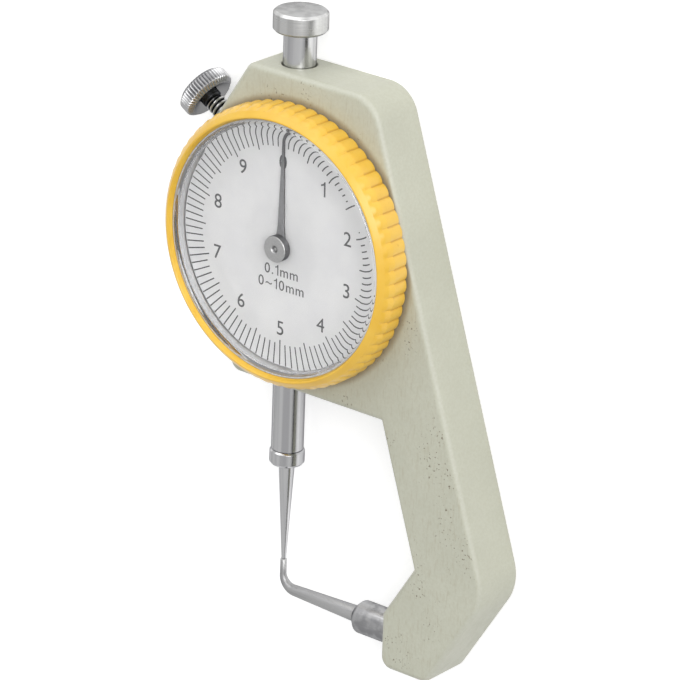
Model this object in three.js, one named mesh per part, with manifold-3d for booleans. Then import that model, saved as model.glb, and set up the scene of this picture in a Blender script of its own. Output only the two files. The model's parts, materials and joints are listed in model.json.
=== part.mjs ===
// Dental thickness caliper with a 0 to 10 mm dial, lying on its back.
// Millimetres. The origin is on the back face behind the dial centre,
// +Y points along the spindle to the lift button and +Z out of the dial.

import * as THREE from "three";
import { mergeVertices } from "three/addons/utils/BufferGeometryUtils.js";
import Module from "manifold-3d";

const wasm = await Module();
wasm.setup();

// Travel and scale
const travel = 10; // spindle travel for one full turn of the pointer

// Gaps between pieces
const runningGap = 0.2; // round a shaft, pin or screw in its hole
const seatGap = 0.3; // between a loose piece and the seat or wall beside it
const tipGap = 0.04; // between the two measuring tips when closed
const cutOverrun = 1; // how far a cut runs past the face that it opens

// Spindle rod, lift button and contact probe
const rodRadius = 2.1;
const rodAboveFrame = 4.34; // polished rod between the frame and the button
const rodBelowMargin = 0.24; // rod under the frame beyond the travel
const rodEndChamfer = 0.3;
const buttonRadius = 3.5;
const buttonHeight = 2.66;
const buttonChamfer = 0.35;
const buttonStudRadius = 1.2;
const buttonStudLength = 1.8;
const collarRadius = 2.34;
const collarHeight = 2;
const collarChamfer = 0.25;
const probeStudRadius = 1.1;
const probeStudLength = 3.5;
const probeConeLength = 13.55;
const probeRootRadius = 1.05;
const probeTipRadius = 0.3;

// Rack and pinion, arbor and hairspring
const pinionTeethCount = 16;
const pinionFace = 1.8;
const toothAddendum = 0.18;
const toothDedendum = 0.25;
const toothThickness = 0.21; // at the pitch line, thinner than half the pitch for play
const toothFlankAngle = 20; // degrees
const rackSpareTeethCount = 3; // beyond the travel at each end
const rackLand = 0.39; // rod surface to rack pitch line
const arborRadius = 0.6;
const pivotRadius = 0.35;
const pivotLength = 0.7;
const arborTipRadius = 0.4;
const colletWall = 0.3;
const colletHeight = 0.8;
const hairspringPitch = 0.5;
const hairspringTurnsCount = 3;
const hairspringThickness = 0.12;
const hairspringHeight = 0.4;
const hairspringStudRadius = 0.4;

// Back cover and its screws
const coverSeat = 2.1; // cavity's wall to the cover's edge
const coverThickness = 0.9; // flush with the back face
const coverScrewAngles = [75, 195, 315]; // degrees
const coverScrewInset = 1.1; // cover's edge to the screws' centres
const coverScrewHeadRadius = 0.75;
const coverScrewHeadHeight = 0.5;
const coverScrewRadius = 0.4;
const coverScrewLength = 2;
const screwSlotWidth = 0.3;
const screwSlotDepth = 0.2;

// Movement plates inside the frame
const cavityLedge = 1.6; // cavity's wall to the inside of the bezel's skirt
const bridgeThickness = 0.8;
const frontRoom = 1; // bridge plate to the frame's front face
const lugAngles = [45, 195, 300]; // degrees
const lugRadius = 2;
const bridgeScrewHeadRadius = 1.25;
const bridgeScrewHeadHeight = 0.7;
const bridgeScrewRadius = 0.55;
const bridgeScrewLength = 2.6;
const cockThickness = 0.6;
const cockReachX = 3.4; // arbor to the pillars, across the rod
const cockReachY = 4.2; // arbor to the pillars, along the rod
const cockEdge = 1.4;
const pillarRadius = 1;
const pillarTenonRadius = 0.5;
const cockScrewHeadRadius = 0.85;
const cockScrewHeadHeight = 0.4;
const cockScrewRadius = 0.4;
const cockScrewLength = 1.9;

// Guide pin and return spring
const guideRise = 2.6; // guide pin above the dial centre at rest
const guideRim = 0.9; // bridge's edge past the guide pin at full travel
const guidePinRadius = 0.4;
const guidePinDepth = 1.3; // pin inside the rod
const armThickness = 0.7;
const armEdge = 0.7;
const hookReach = 3; // guide pin to the return spring's axis
const springRadius = 0.6;
const springWireRadius = 0.15;
const springCoilsCount = 11;
const postRadius = 0.45;
const postHeight = 1.6;
const postInset = 0.85; // bridge's edge to the spring post's axis

// Bushes
const bushWall = 0.25;
const upperBushLip = 1.6; // frame left above the upper bush
const lowerBushLip = 1.4; // frame left below the lower bush
const bushBoreGap = 0.15;

// Dial group
const bezelRise = 0.3; // gap between the bezel and the frame's front face
const bezelHeight = 4.35;
const bezelSideHeight = 2.6; // rear face to the foot of the front cone
const bezelEdgeInset = 0.64; // flutes to the soft edge on the front cone
const bezelEdgeDrop = 0.74; // front lip to that soft edge
const bezelRimWidth = 1.44; // flutes to the front lip
const bezelLipDrop = 0.8; // lip to the edge of the crystal
const bezelWall = 1.74; // flutes to the crystal bore
const flutesCount = 64;
const fluteDepth = 0.27;
const skirtSetback = 1.375; // flutes to the outside of the skirt
const skirtWall = 1.2;
const skirtDepth = 1.15;
const skirtGap = 0.25;
const ringGrooveDepth = 0.4;
const ringHeight = 0.3;
const ringDrop = 0.52; // frame's front face to the middle of the snap ring
const ringOpeningAngle = 24; // degrees
const dialSeatRise = 1; // bezel's rear face to the dial's seat
const dialThickness = 0.35;
const dialHoleRadius = 1.1;
const crystalWall = 0.6;
const crystalTopRise = 2.8; // dial to the crystal's front face
const crystalThickness = 1.3;
const crystalBevelWidth = 1.5;
const crystalBevelHeight = 0.8;
const crystalFillet = 0.35; // inside corner of the cup
const crystalLipWidth = 0.5; // step of the cup's wall at the dial

// Pointer
const hubRadius = 1.7;
const hubThickness = 1.1;
const hubFrontRise = 1.45; // dial to the hub's front face
const hubStemRadius = 0.85;
const hubStemLength = 0.28;
const hubChamfer = 0.15;
const dimpleRadius = 0.5;
const dimpleDepth = 0.25;
const needleThickness = 0.25;
const needleReach = 15;
const needleEyeWall = 0.35;
const needleFlareLength = 2.2;
const needleFlareWidth = 1.5;
const needleWaistWidth = 0.9;
const needleTipWidth = 0.32;

// Frame plate
const topMargin = 3.28; // frame past the bezel at the button side
const underMargin = 1.56; // frame past the bezel at the probe side
const rightOverhang = 0.25; // bezel past the frame at the right edge
const chamferMargin = 0.1; // both left chamfers past the bezel
const leftInset = 0.2; // left edge hidden behind the bezel
const chamferAngle = 32.5; // degrees, both left chamfers against the left edge
const rightAngle = 18.45; // degrees, right edge leaning out toward the jaw
const throatAngle = 18.2; // degrees
const throatInset = 3.6; // flutes to the throat's inner corner, along X
const slantAngle = 31.4; // degrees, outer edge of the jaw
const jawInset = 2.15; // flutes to the jaw's face, along X
const jawWidth = 7.35;
const jawHeight = 7.45;
const notchRun = 4.3;
const notchRise = 7;
const shoulderRound = 4.6; // big round between the top and right edges
const elbowRound = 6.5; // round at the lower right
const cornerRound = 1.6;
const edgeRound = 0.8; // rounding of the front and back edges

// Anvil
const anvilTipRise = 3.95; // tip above the arm's centre line
const anvilTipRadius = 0.43;
const anvilBendRadius = 1.9;
const anvilArmRadius = 0.74;
const anvilRootRadius = 1.1;
const anvilPinSocket = 4.5; // pin inside the holder
const holderRadius = 2.2;
const holderReach = 7; // holder outside the jaw
const holderSocket = 6.5; // holder inside the jaw
const holderRound = 0.8;
const jawFloor = 1.42; // jaw wall under the holder
const grubRadius = 1;
const grubPlace = 3.2; // grub screw behind the jaw's face
const grubSlotWidth = 0.35;
const grubSink = 0.25; // grub screw inside the back face

// Lock screw
const lockOffset = 2.2; // axis beside the middle of the chamfer
const lockHeadRadius = 3.6;
const lockHeadThickness = 2.45;
const lockHeadChamfer = 0.3;
const lockDishDepth = 0.6; // hollow in the head's inner face
const lockKnurlsCount = 56;
const lockKnurlDepth = 0.2;
const lockThreadRadius = 1.35;
const lockThreadShown = 3.55;
const lockTravel = 0.45;
const lockPadLength = 2.2;
const lockPadClearance = 0.09; // left between pad and rod when the screw is home
const lockBossWidth = 5;
const benchGap = 0.1; // the head clears the bench by this much

// Smoothness of round pieces
const largeSegments = 60;
const plateSegments = 48;
const mediumSegments = 24;
const smallSegments = 14;
const springStepsPerCoil = 8;
const springSides = 5;
const hairspringStepsPerTurn = 16;
const lobeSteps = 4; // points on each flute
const roundSteps = 3; // faces across a rounded edge
const bendSteps = 6;
const arcStepAngle = 12; // degrees

// Levels above the back face
const spindleHeight = lockHeadRadius + benchGap;
const bridgeBottom = spindleHeight + rodRadius + seatGap;
const bridgeTop = bridgeBottom + bridgeThickness;
const frameThickness = bridgeTop + frontRoom;
const cockBottom = coverThickness + cockScrewHeadHeight + runningGap;
const cockTop = cockBottom + cockThickness;
const bezelRear = frameThickness + bezelRise;
const bezelFront = bezelRear + bezelHeight;
const dialBottom = bezelRear + dialSeatRise;
const dialTop = dialBottom + dialThickness;
const skirtBottom = frameThickness - skirtDepth;
const counterboreFloor = skirtBottom - runningGap;
const crystalTop = dialTop + crystalTopRise;
const hubFront = dialTop + hubFrontRise;
const hubBack = hubFront - hubThickness;

// Places in plan
const pinionPitchRadius = travel / (2 * Math.PI);
const toothPitch = travel / pinionTeethCount;
const rackPitchReach = rodRadius - rackLand;
const spindleX = -(pinionPitchRadius + rackPitchReach);
const bridgeRadius = Math.hypot(spindleX, guideRise + travel) + guideRim;
const cavityRadius = bridgeRadius + seatGap;
const coverRadius = cavityRadius + coverSeat;
const skirtInner = cavityRadius + cavityLedge;
const skirtRadius = skirtInner + skirtWall;
const bezelRadius = skirtRadius + skirtSetback; // over the flutes
const frameTop = bezelRadius + topMargin;
const frameUnder = -(bezelRadius + underMargin);
const rodTop = frameTop + rodAboveFrame;
const rodBottom = frameUnder - travel - rodBelowMargin;
const probeTip = rodBottom - collarHeight - probeConeLength;
const anvilTip = probeTip - tipGap;
const anvilCentre = anvilTip - anvilTipRise;
const frameBottom = anvilCentre - holderRadius - jawFloor;
const jawShoulder = frameBottom + jawHeight;
const throatTop = bezelRadius - throatInset;
const jawFace = bezelRadius - jawInset;
const holderEnd = jawFace - holderReach;
const coverRecessRadius = coverRadius + seatGap;
const coverScrewCircle = coverRadius - coverScrewInset;
const lugCircle = cavityRadius - lugRadius + seatGap;
const counterboreRadius = skirtRadius + skirtGap;
const bezelBore = bezelRadius - bezelWall;
const crystalRadius = bezelBore - runningGap;
const dialRadius = bezelBore - seatGap;
const ringMiddle = frameThickness - ringDrop;
const hookX = spindleX - hookReach;
const postY = -Math.sqrt((bridgeRadius - postInset) ** 2 - hookX ** 2);
const chamferReach = bezelRadius + chamferMargin;
const bushBore = rodRadius + bushBoreGap;
const bushRadius = bushBore + bushWall;
const bushSeatRadius = bushRadius + runningGap;
const bushInner = cavityRadius;

// Vector and angle helpers
const radians = THREE.MathUtils.degToRad;
function pointAt(radius, degrees) {
  return [radius * Math.cos(radians(degrees)), radius * Math.sin(radians(degrees))];
}

const evenly = (count) => Array.from({ length: count }, (_, index) => index);
const triangleCorners = evenly(3);

// Cosine and sine at even steps over a quarter turn, for rounded edges
const quarterTurn = evenly(roundSteps + 1).map((step) => {
  const angle = (step * Math.PI) / (2 * roundSteps);
  return [Math.cos(angle), Math.sin(angle)];
});

// Keep only position, weld shared corners and drop the empty triangles on a lathe's axis
function weld(geometry) {
  geometry.deleteAttribute("normal");
  geometry.deleteAttribute("uv");
  const merged = mergeVertices(geometry);
  const kept = [];
  for (let start = 0; start < merged.index.count; start += triangleCorners.length) {
    const [a, b, c] = triangleCorners.map((corner) => merged.index.getX(start + corner));
    if (a !== b && b !== c && c !== a) kept.push(a, b, c);
  }
  merged.setIndex(kept);
  return merged;
}

function toSolid(geometry) {
  const welded = weld(geometry);
  return new wasm.Manifold(new wasm.Mesh({
    numProp: 3,
    vertProperties: new Float32Array(welded.attributes.position.array),
    triVerts: new Uint32Array(welded.index.array),
  }));
}

function toGeometry(solid) {
  const mesh = solid.getMesh();
  const geometry = new THREE.BufferGeometry();
  geometry.setAttribute("position", new THREE.BufferAttribute(new Float32Array(mesh.vertProperties), 3));
  geometry.setIndex(new THREE.BufferAttribute(new Uint32Array(mesh.triVerts), 1));
  return geometry;
}

const join = (...geometries) => {
  const whole = geometries.map(toSolid).reduce((sum, piece) => sum.add(piece));
  return toGeometry(whole);
};

const cut = (body, ...tools) => {
  const left = tools.map(toSolid).reduce((rest, tool) => rest.subtract(tool), toSolid(body));
  return toGeometry(left);
};

const overlap = (first, second) => toGeometry(toSolid(first).intersect(toSolid(second)));

// Shapes: a disc or drum along Z, a plate from an outline, and turned pieces
function drum(radius, bottom, top, segments, x = 0, y = 0) {
  const geometry = new THREE.CylinderGeometry(radius, radius, top - bottom, segments);
  geometry.rotateX(Math.PI / 2);
  return geometry.translate(x, y, (bottom + top) / 2);
}

function block(low, high) {
  const size = high.map((value, axis) => value - low[axis]);
  const middle = high.map((value, axis) => (value + low[axis]) / 2);
  return new THREE.BoxGeometry(...size).translate(...middle);
}

function plate(outline, bottom, top) {
  const shape = new THREE.Shape(outline.map(([x, y]) => new THREE.Vector2(x, y)));
  const geometry = new THREE.ExtrudeGeometry(shape, { depth: top - bottom, bevelEnabled: false });
  return geometry.translate(0, 0, bottom);
}

// Profile points are [radius, place along the axis], drawn from low to high along the outside
function turnedAlongY(profile, segments) {
  return new THREE.LatheGeometry(profile.map(([r, along]) => new THREE.Vector2(r, along)), segments);
}

function turnedAlongZ(profile, segments) {
  return turnedAlongY(profile, segments).rotateX(Math.PI / 2);
}

function turnedAlongX(profile, segments) {
  return turnedAlongY(profile, segments).rotateZ(-Math.PI / 2);
}

const closedRing = (profile) => [...profile, profile[0]];

function pipeAlongZ(inner, outer, bottom, top, segments) {
  return turnedAlongZ(closedRing([[inner, bottom], [outer, bottom], [outer, top], [inner, top]]), segments);
}

// Outline round several equal circles, given anticlockwise
function outlineRound(centres, radius) {
  const points = [];
  centres.forEach((centre, index) => {
    const before = centres[(index + centres.length - 1) % centres.length];
    const after = centres[(index + 1) % centres.length];
    const start = Math.atan2(centre[1] - before[1], centre[0] - before[0]) - Math.PI / 2;
    let end = Math.atan2(after[1] - centre[1], after[0] - centre[0]) - Math.PI / 2;
    while (end <= start) end += 2 * Math.PI;
    const steps = Math.ceil((end - start) / radians(2 * arcStepAngle));
    for (let step = 0; step <= steps; step += 1) {
      const angle = start + ((end - start) * step) / steps;
      points.push([centre[0] + radius * Math.cos(angle), centre[1] + radius * Math.sin(angle)]);
    }
  });
  return points;
}

// An edge is a straight line, told by the direction it faces and its reach from the dial centre
const edgeAt = (facing, reach, round = 0) => ({ facing: radians(facing), reach, round });
function edgeThrough(facing, x, y, round = 0) {
  const direction = radians(facing);
  return { facing: direction, reach: x * Math.cos(direction) + y * Math.sin(direction), round };
}

function crossing(first, second) {
  const turn = Math.sin(second.facing - first.facing);
  return [
    (first.reach * Math.sin(second.facing) - second.reach * Math.sin(first.facing)) / turn,
    (second.reach * Math.cos(first.facing) - first.reach * Math.cos(second.facing)) / turn,
  ];
}

const notchFacing = 90 + THREE.MathUtils.radToDeg(Math.atan2(notchRise, notchRun));

// Closed outline of straight edges in anticlockwise order; an edge's round is at its far corner
function outlineOf(edges) {
  const points = [];
  edges.forEach((edge, index) => {
    const next = edges[(index + 1) % edges.length];
    const corner = crossing(edge, next);
    if (edge.round === 0) {
      points.push(corner);
      return;
    }
    const turn = Math.atan2(Math.sin(next.facing - edge.facing), Math.cos(next.facing - edge.facing));
    const back = edge.round / Math.cos(turn / 2);
    const bisector = edge.facing + turn / 2;
    const centre = [corner[0] - back * Math.cos(bisector), corner[1] - back * Math.sin(bisector)];
    const steps = Math.ceil(turn / radians(arcStepAngle));
    for (let step = 0; step <= steps; step += 1) {
      const angle = edge.facing + (turn * step) / steps;
      points.push([centre[0] + edge.round * Math.cos(angle), centre[1] + edge.round * Math.sin(angle)]);
    }
  });
  return points;
}

// Closed body through rings of points, each ring as long as the others
function loft(rings) {
  const sides = rings[0].length;
  const index = [];
  for (let ring = 0; ring < rings.length - 1; ring += 1) {
    for (let side = 0; side < sides; side += 1) {
      const here = ring * sides + side;
      const beside = ring * sides + ((side + 1) % sides);
      index.push(here, beside, here + sides, beside, beside + sides, here + sides);
    }
  }
  const last = (rings.length - 1) * sides;
  for (let side = 1; side < sides - 1; side += 1) {
    index.push(0, side + 1, side);
    index.push(last, last + side, last + side + 1);
  }
  const geometry = new THREE.BufferGeometry();
  geometry.setAttribute("position", new THREE.Float32BufferAttribute(rings.flat(2), 3));
  geometry.setIndex(index);
  return geometry;
}

// Frame: a plate with rounded edges, opened for the movement, the rod, the lock and the anvil
function frameOutline() {
  return outlineOf([
    edgeThrough(270, 0, frameBottom, cornerRound),
    edgeThrough(-slantAngle, jawFace + jawWidth, frameBottom, elbowRound),
    edgeAt(rightAngle, bezelRadius - rightOverhang, shoulderRound),
    edgeAt(90, frameTop, cornerRound),
    edgeAt(180 - chamferAngle, chamferReach, cornerRound),
    edgeAt(180, bezelRadius - leftInset, cornerRound),
    edgeAt(180 + chamferAngle, chamferReach, cornerRound),
    edgeAt(270, -frameUnder),
    edgeThrough(180 + throatAngle, throatTop, frameUnder),
    edgeThrough(notchFacing, jawFace + notchRun, jawShoulder + notchRise),
    edgeThrough(180, jawFace, 0, cornerRound),
  ]);
}

function frameBlank() {
  const shape = new THREE.Shape(frameOutline().map(([x, y]) => new THREE.Vector2(x, y)));
  const geometry = new THREE.ExtrudeGeometry(shape, {
    depth: frameThickness - 2 * edgeRound,
    bevelThickness: edgeRound,
    bevelSize: edgeRound,
    bevelOffset: -edgeRound,
    bevelSegments: roundSteps,
  });
  return geometry.translate(0, 0, edgeRound);
}

// Lock axis: it runs square to the upper left chamfer, inward to the rod
const lockFacing = radians(180 - chamferAngle);
const lockOut = [Math.cos(lockFacing), Math.sin(lockFacing)];
const lockAlong = [Math.sin(lockFacing), -Math.cos(lockFacing)];
const lockMouth = lockOut.map((value, axis) => value * chamferReach + lockAlong[axis] * lockOffset);
const lockDistanceTo = (x) => (lockMouth[0] - x) / lockOut[0];
const lockPadGap = lockTravel * Math.cos(radians(chamferAngle)) + lockPadClearance;
const lockPadFace = spindleX - rodRadius - lockPadGap;
const lockPadEnd = lockDistanceTo(lockPadFace);
const lockPadStart = lockPadEnd - lockPadLength;
const lockScrewEnd = lockPadStart - seatGap;
const lockBossFace = spindleX - rodRadius - seatGap;

// A turned piece on the lock axis, drawn along X and set at the chamfer's mouth
function onLockAxis(geometry) {
  return geometry.rotateZ(lockFacing + Math.PI).translate(...lockMouth, spindleHeight);
}

function drumAlongX(radius, start, end, segments) {
  const profile = [[0, start], [radius, start], [radius, end], [0, end]];
  return turnedAlongX(profile, segments);
}

function lockBoss() {
  const halfWidth = lockBossWidth / 2;
  const bottom = coverThickness + seatGap;
  const top = bridgeBottom - runningGap;
  const start = (chamferReach - cavityRadius) / 2;
  const bar = block([start, -halfWidth, bottom], [lockPadEnd + lockBossWidth, halfWidth, top]);
  bar.rotateZ(lockFacing + Math.PI).translate(...lockMouth, 0);
  const reach = 2 * cavityRadius;
  return cut(bar, block([lockBossFace, -reach, -cutOverrun], [reach, reach, frameThickness]));
}

const lugPlaces = lugAngles.map((angle) => pointAt(lugCircle, angle));
const coverScrewPlaces = coverScrewAngles.map((angle) => pointAt(coverScrewCircle, angle));

function rodBore(radius, from, to) {
  const profile = [[0, from], [radius, from], [radius, to], [0, to]];
  return turnedAlongY(profile, mediumSegments).translate(spindleX, 0, spindleHeight);
}

function frameGeometry() {
  const cavity = drum(cavityRadius, coverThickness, counterboreFloor + cutOverrun, plateSegments);
  const recess = drum(coverRecessRadius, -cutOverrun, coverThickness, plateSegments);
  const counterbore = drum(counterboreRadius, counterboreFloor, frameThickness + cutOverrun, largeSegments);
  const grooveRadius = counterboreRadius + ringGrooveDepth;
  const grooveHalf = ringHeight / 2 + runningGap;
  const groove = drum(grooveRadius, ringMiddle - grooveHalf, ringMiddle + grooveHalf, largeSegments);
  const opened = cut(frameBlank(), cavity, recess, counterbore, groove);
  const lugs = lugPlaces.map(([x, y]) => drum(lugRadius, coverThickness, bridgeBottom, smallSegments, x, y));
  const filled = join(opened, lockBoss(), ...lugs);
  const lugHoleRadius = bridgeScrewRadius + runningGap;
  const lugHoleBottom = bridgeBottom - bridgeScrewLength - seatGap;
  const lugHoles = lugPlaces.map(
    ([x, y]) => drum(lugHoleRadius, lugHoleBottom, bridgeTop, smallSegments, x, y),
  );
  const coverHoleRadius = coverScrewRadius + runningGap;
  const coverHoleTop = coverScrewLength + seatGap;
  const coverHoles = coverScrewPlaces.map(
    ([x, y]) => drum(coverHoleRadius, 0, coverHoleTop, smallSegments, x, y),
  );
  const rodPassage = rodRadius + seatGap;
  const lockHole = onLockAxis(drumAlongX(
    lockThreadRadius + runningGap, -cutOverrun, lockPadEnd + lockBossWidth, smallSegments,
  ));
  const holderBore = drumAlongX(
    holderRadius + runningGap, jawFace - cutOverrun, jawFace + holderSocket + seatGap, mediumSegments,
  ).translate(0, anvilCentre, spindleHeight);
  const grubX = jawFace + grubPlace;
  const grubBore = drum(
    grubRadius + runningGap, -cutOverrun, spindleHeight, smallSegments, grubX, anvilCentre,
  );
  return cut(
    filled,
    rodBore(bushSeatRadius, cavityRadius - bushSeatRadius, frameTop - upperBushLip + runningGap),
    rodBore(rodPassage, 0, frameTop + cutOverrun),
    rodBore(bushSeatRadius, frameUnder + lowerBushLip - runningGap, bushSeatRadius - cavityRadius),
    rodBore(rodPassage, frameUnder - cutOverrun, 0),
    lockHole,
    holderBore,
    grubBore,
    ...lugHoles,
    ...coverHoles,
  );
}

// Screws with a slotted head: the head faces down at the back, or up at the front
function slotCutter(radius, face, depth, x, y, width) {
  const reach = radius + cutOverrun;
  const [low, high] = depth > 0 ? [face - cutOverrun, face + depth] : [face + depth, face + cutOverrun];
  return block([x - reach, y - width / 2, low], [x + reach, y + width / 2, high]);
}

function coverScrewGeometry(x, y) {
  const profile = [
    [0, 0],
    [coverScrewHeadRadius, 0],
    [coverScrewRadius, coverScrewHeadHeight],
    [coverScrewRadius, coverScrewLength],
    [0, coverScrewLength],
  ];
  const turned = turnedAlongZ(profile, smallSegments).translate(x, y, 0);
  return cut(turned, slotCutter(coverScrewHeadRadius, 0, screwSlotDepth, x, y, screwSlotWidth));
}

function coverGeometry() {
  const sinks = coverScrewPlaces.map(([x, y]) => {
    const profile = [
      [0, -cutOverrun],
      [coverScrewHeadRadius + runningGap + cutOverrun, -cutOverrun],
      [coverScrewHeadRadius + runningGap, 0],
      [coverScrewRadius + runningGap, coverScrewHeadHeight],
      [coverScrewRadius + runningGap, coverThickness + cutOverrun],
      [0, coverThickness + cutOverrun],
    ];
    return turnedAlongZ(profile, smallSegments).translate(x, y, 0);
  });
  return cut(drum(coverRadius, 0, coverThickness, plateSegments), ...sinks);
}

function bridgeScrewGeometry(x, y) {
  const top = bridgeTop + bridgeScrewHeadHeight;
  const profile = [
    [0, bridgeBottom - bridgeScrewLength],
    [bridgeScrewRadius, bridgeBottom - bridgeScrewLength],
    [bridgeScrewRadius, bridgeTop],
    [bridgeScrewHeadRadius, bridgeTop],
    [bridgeScrewHeadRadius, top],
    [0, top],
  ];
  const turned = turnedAlongZ(profile, smallSegments).translate(x, y, 0);
  return cut(turned, slotCutter(bridgeScrewHeadRadius, top, -screwSlotDepth, x, y, screwSlotWidth));
}

function cockScrewGeometry(x, y) {
  const profile = [
    [0, cockBottom - cockScrewHeadHeight],
    [cockScrewHeadRadius, cockBottom - cockScrewHeadHeight],
    [cockScrewHeadRadius, cockBottom],
    [cockScrewRadius, cockBottom],
    [cockScrewRadius, cockBottom + cockScrewLength],
    [0, cockBottom + cockScrewLength],
  ];
  return turnedAlongZ(profile, smallSegments).translate(x, y, 0);
}

// Movement plates
const pillarPlaces = [[cockReachX, -cockReachY], [cockReachX, cockReachY]];

function cockGeometry() {
  const blank = plate(outlineRound([[0, 0], ...pillarPlaces], cockEdge), cockBottom, cockTop);
  const pivotHole = drum(pivotRadius + runningGap, 0, bridgeBottom, smallSegments);
  const screwHoles = pillarPlaces.map(
    ([x, y]) => drum(cockScrewRadius + runningGap, 0, bridgeBottom, smallSegments, x, y),
  );
  return cut(blank, pivotHole, ...screwHoles);
}

function pillarGeometry(x, y) {
  const boreRadius = cockScrewRadius + runningGap;
  const boreTop = cockBottom + cockScrewLength + seatGap;
  const profile = [
    [0, boreTop],
    [boreRadius, boreTop],
    [boreRadius, cockTop],
    [pillarRadius, cockTop],
    [pillarRadius, bridgeBottom],
    [pillarTenonRadius, bridgeBottom],
    [pillarTenonRadius, bridgeTop],
    [0, bridgeTop],
  ];
  return turnedAlongZ(profile, smallSegments).translate(x, y, 0);
}

const hairspringInner = arborRadius + runningGap + colletWall + seatGap;
const hairspringOuter = hairspringInner + hairspringPitch * hairspringTurnsCount;
const hairspringStudX = hairspringOuter + hairspringThickness + hairspringStudRadius;

function bridgeGeometry() {
  const slotHalf = guidePinRadius + runningGap;
  const low = bridgeBottom - cutOverrun;
  const high = bridgeTop + cutOverrun;
  const slotEnds = [[spindleX, guideRise], [spindleX, guideRise + travel]];
  const slot = plate(outlineRound(slotEnds, slotHalf), low, high);
  const hole = (radius, x, y) => drum(radius + runningGap, low, high, smallSegments, x, y);
  return cut(
    drum(bridgeRadius, bridgeBottom, bridgeTop, plateSegments),
    slot,
    hole(arborRadius, 0, 0),
    ...lugPlaces.map(([x, y]) => hole(bridgeScrewRadius, x, y)),
    ...pillarPlaces.map(([x, y]) => hole(pillarTenonRadius, x, y)),
  );
}

// Arbor, pinion and hairspring, all on the dial's axis
const arborTop = hubBack + hubThickness / 2;
const pinionBottom = spindleHeight - pinionFace / 2;
const pinionTop = spindleHeight + pinionFace / 2;

function arborGeometry() {
  const shoulder = cockTop + runningGap;
  const neck = dialTop;
  return turnedAlongZ([
    [0, shoulder - pivotLength],
    [pivotRadius, shoulder - pivotLength],
    [pivotRadius, shoulder],
    [arborRadius, shoulder],
    [arborRadius, neck],
    [arborTipRadius, neck],
    [arborTipRadius, arborTop],
    [0, arborTop],
  ], smallSegments);
}

// Half the width of a tooth at a height above the pitch line
const toothHalf = (height) => toothThickness / 2 - height * Math.tan(radians(toothFlankAngle));

function pinionGeometry() {
  const rootRadius = pinionPitchRadius - toothDedendum;
  const tipRadius = pinionPitchRadius + toothAddendum;
  const outline = [];
  evenly(pinionTeethCount).forEach((tooth) => {
    const middle = Math.PI + (tooth * 2 * Math.PI) / pinionTeethCount;
    [[rootRadius, -1], [tipRadius, -1], [tipRadius, 1], [rootRadius, 1]].forEach(([radius, side]) => {
      const angle = middle + (side * toothHalf(radius - pinionPitchRadius)) / radius;
      outline.push([radius * Math.cos(angle), radius * Math.sin(angle)]);
    });
  });
  const blank = plate(outline, pinionBottom, pinionTop);
  return cut(blank, drum(arborRadius + runningGap, 0, frameThickness, smallSegments));
}

function colletGeometry() {
  const bottom = bridgeTop + seatGap;
  const bore = arborRadius + runningGap;
  return pipeAlongZ(bore, bore + colletWall, bottom, bottom + colletHeight, smallSegments);
}

function hairspringGeometry() {
  const low = bridgeTop + seatGap + (colletHeight - hairspringHeight) / 2;
  const high = low + hairspringHeight;
  const steps = hairspringTurnsCount * hairspringStepsPerTurn;
  const rings = evenly(steps + 1).map((step) => {
    const angle = (step * 2 * Math.PI) / hairspringStepsPerTurn;
    const inner = hairspringInner + (hairspringPitch * step) / hairspringStepsPerTurn;
    const outer = inner + hairspringThickness;
    const [c, s] = [Math.cos(angle), Math.sin(angle)];
    return [[inner, low], [inner, high], [outer, high], [outer, low]].map(([r, z]) => [r * c, r * s, z]);
  });
  return loft(rings);
}

function hairspringStudGeometry() {
  const top = bridgeTop + seatGap + colletHeight;
  return drum(hairspringStudRadius, bridgeTop, top, smallSegments, hairspringStudX, 0);
}

// Return spring: one wire wound along Y between the arm and the post
function returnSpringGeometry() {
  const top = guideRise - armEdge - seatGap - springWireRadius;
  const bottom = postY + postRadius + seatGap + springWireRadius;
  const height = bridgeTop + runningGap + springRadius + springWireRadius;
  const steps = springCoilsCount * springStepsPerCoil;
  const rise = (top - bottom) / steps;
  const slope = Math.atan2(rise * springStepsPerCoil, 2 * Math.PI * springRadius);
  const rings = evenly(steps + 1).map((step) => {
    const angle = (step * 2 * Math.PI) / springStepsPerCoil;
    const [c, s] = [Math.cos(angle), Math.sin(angle)];
    return evenly(springSides).map((side) => {
      const around = (side * 2 * Math.PI) / springSides;
      const outward = springRadius + springWireRadius * Math.cos(around);
      const lift = springWireRadius * Math.sin(around);
      return [
        hookX + outward * c + lift * Math.sin(slope) * s,
        bottom + rise * step + lift * Math.cos(slope),
        height + outward * s - lift * Math.sin(slope) * c,
      ];
    });
  });
  return loft(rings);
}

const armBottom = bridgeTop + runningGap;
const armTop = armBottom + armThickness;

function armGeometry() {
  const outline = outlineRound([[hookX, guideRise], [spindleX, guideRise]], armEdge);
  const holeTop = armTop + cutOverrun;
  const hole = drum(guidePinRadius + bushBoreGap, 0, holeTop, smallSegments, spindleX, guideRise);
  return cut(plate(outline, armBottom, armTop), hole);
}

function postGeometry() {
  return drum(postRadius, bridgeTop, bridgeTop + postHeight, smallSegments, hookX, postY);
}

const guidePinBottom = spindleHeight + rodRadius - guidePinDepth;

function guidePinGeometry() {
  return drum(guidePinRadius, guidePinBottom, armTop, smallSegments, spindleX, guideRise);
}

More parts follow.
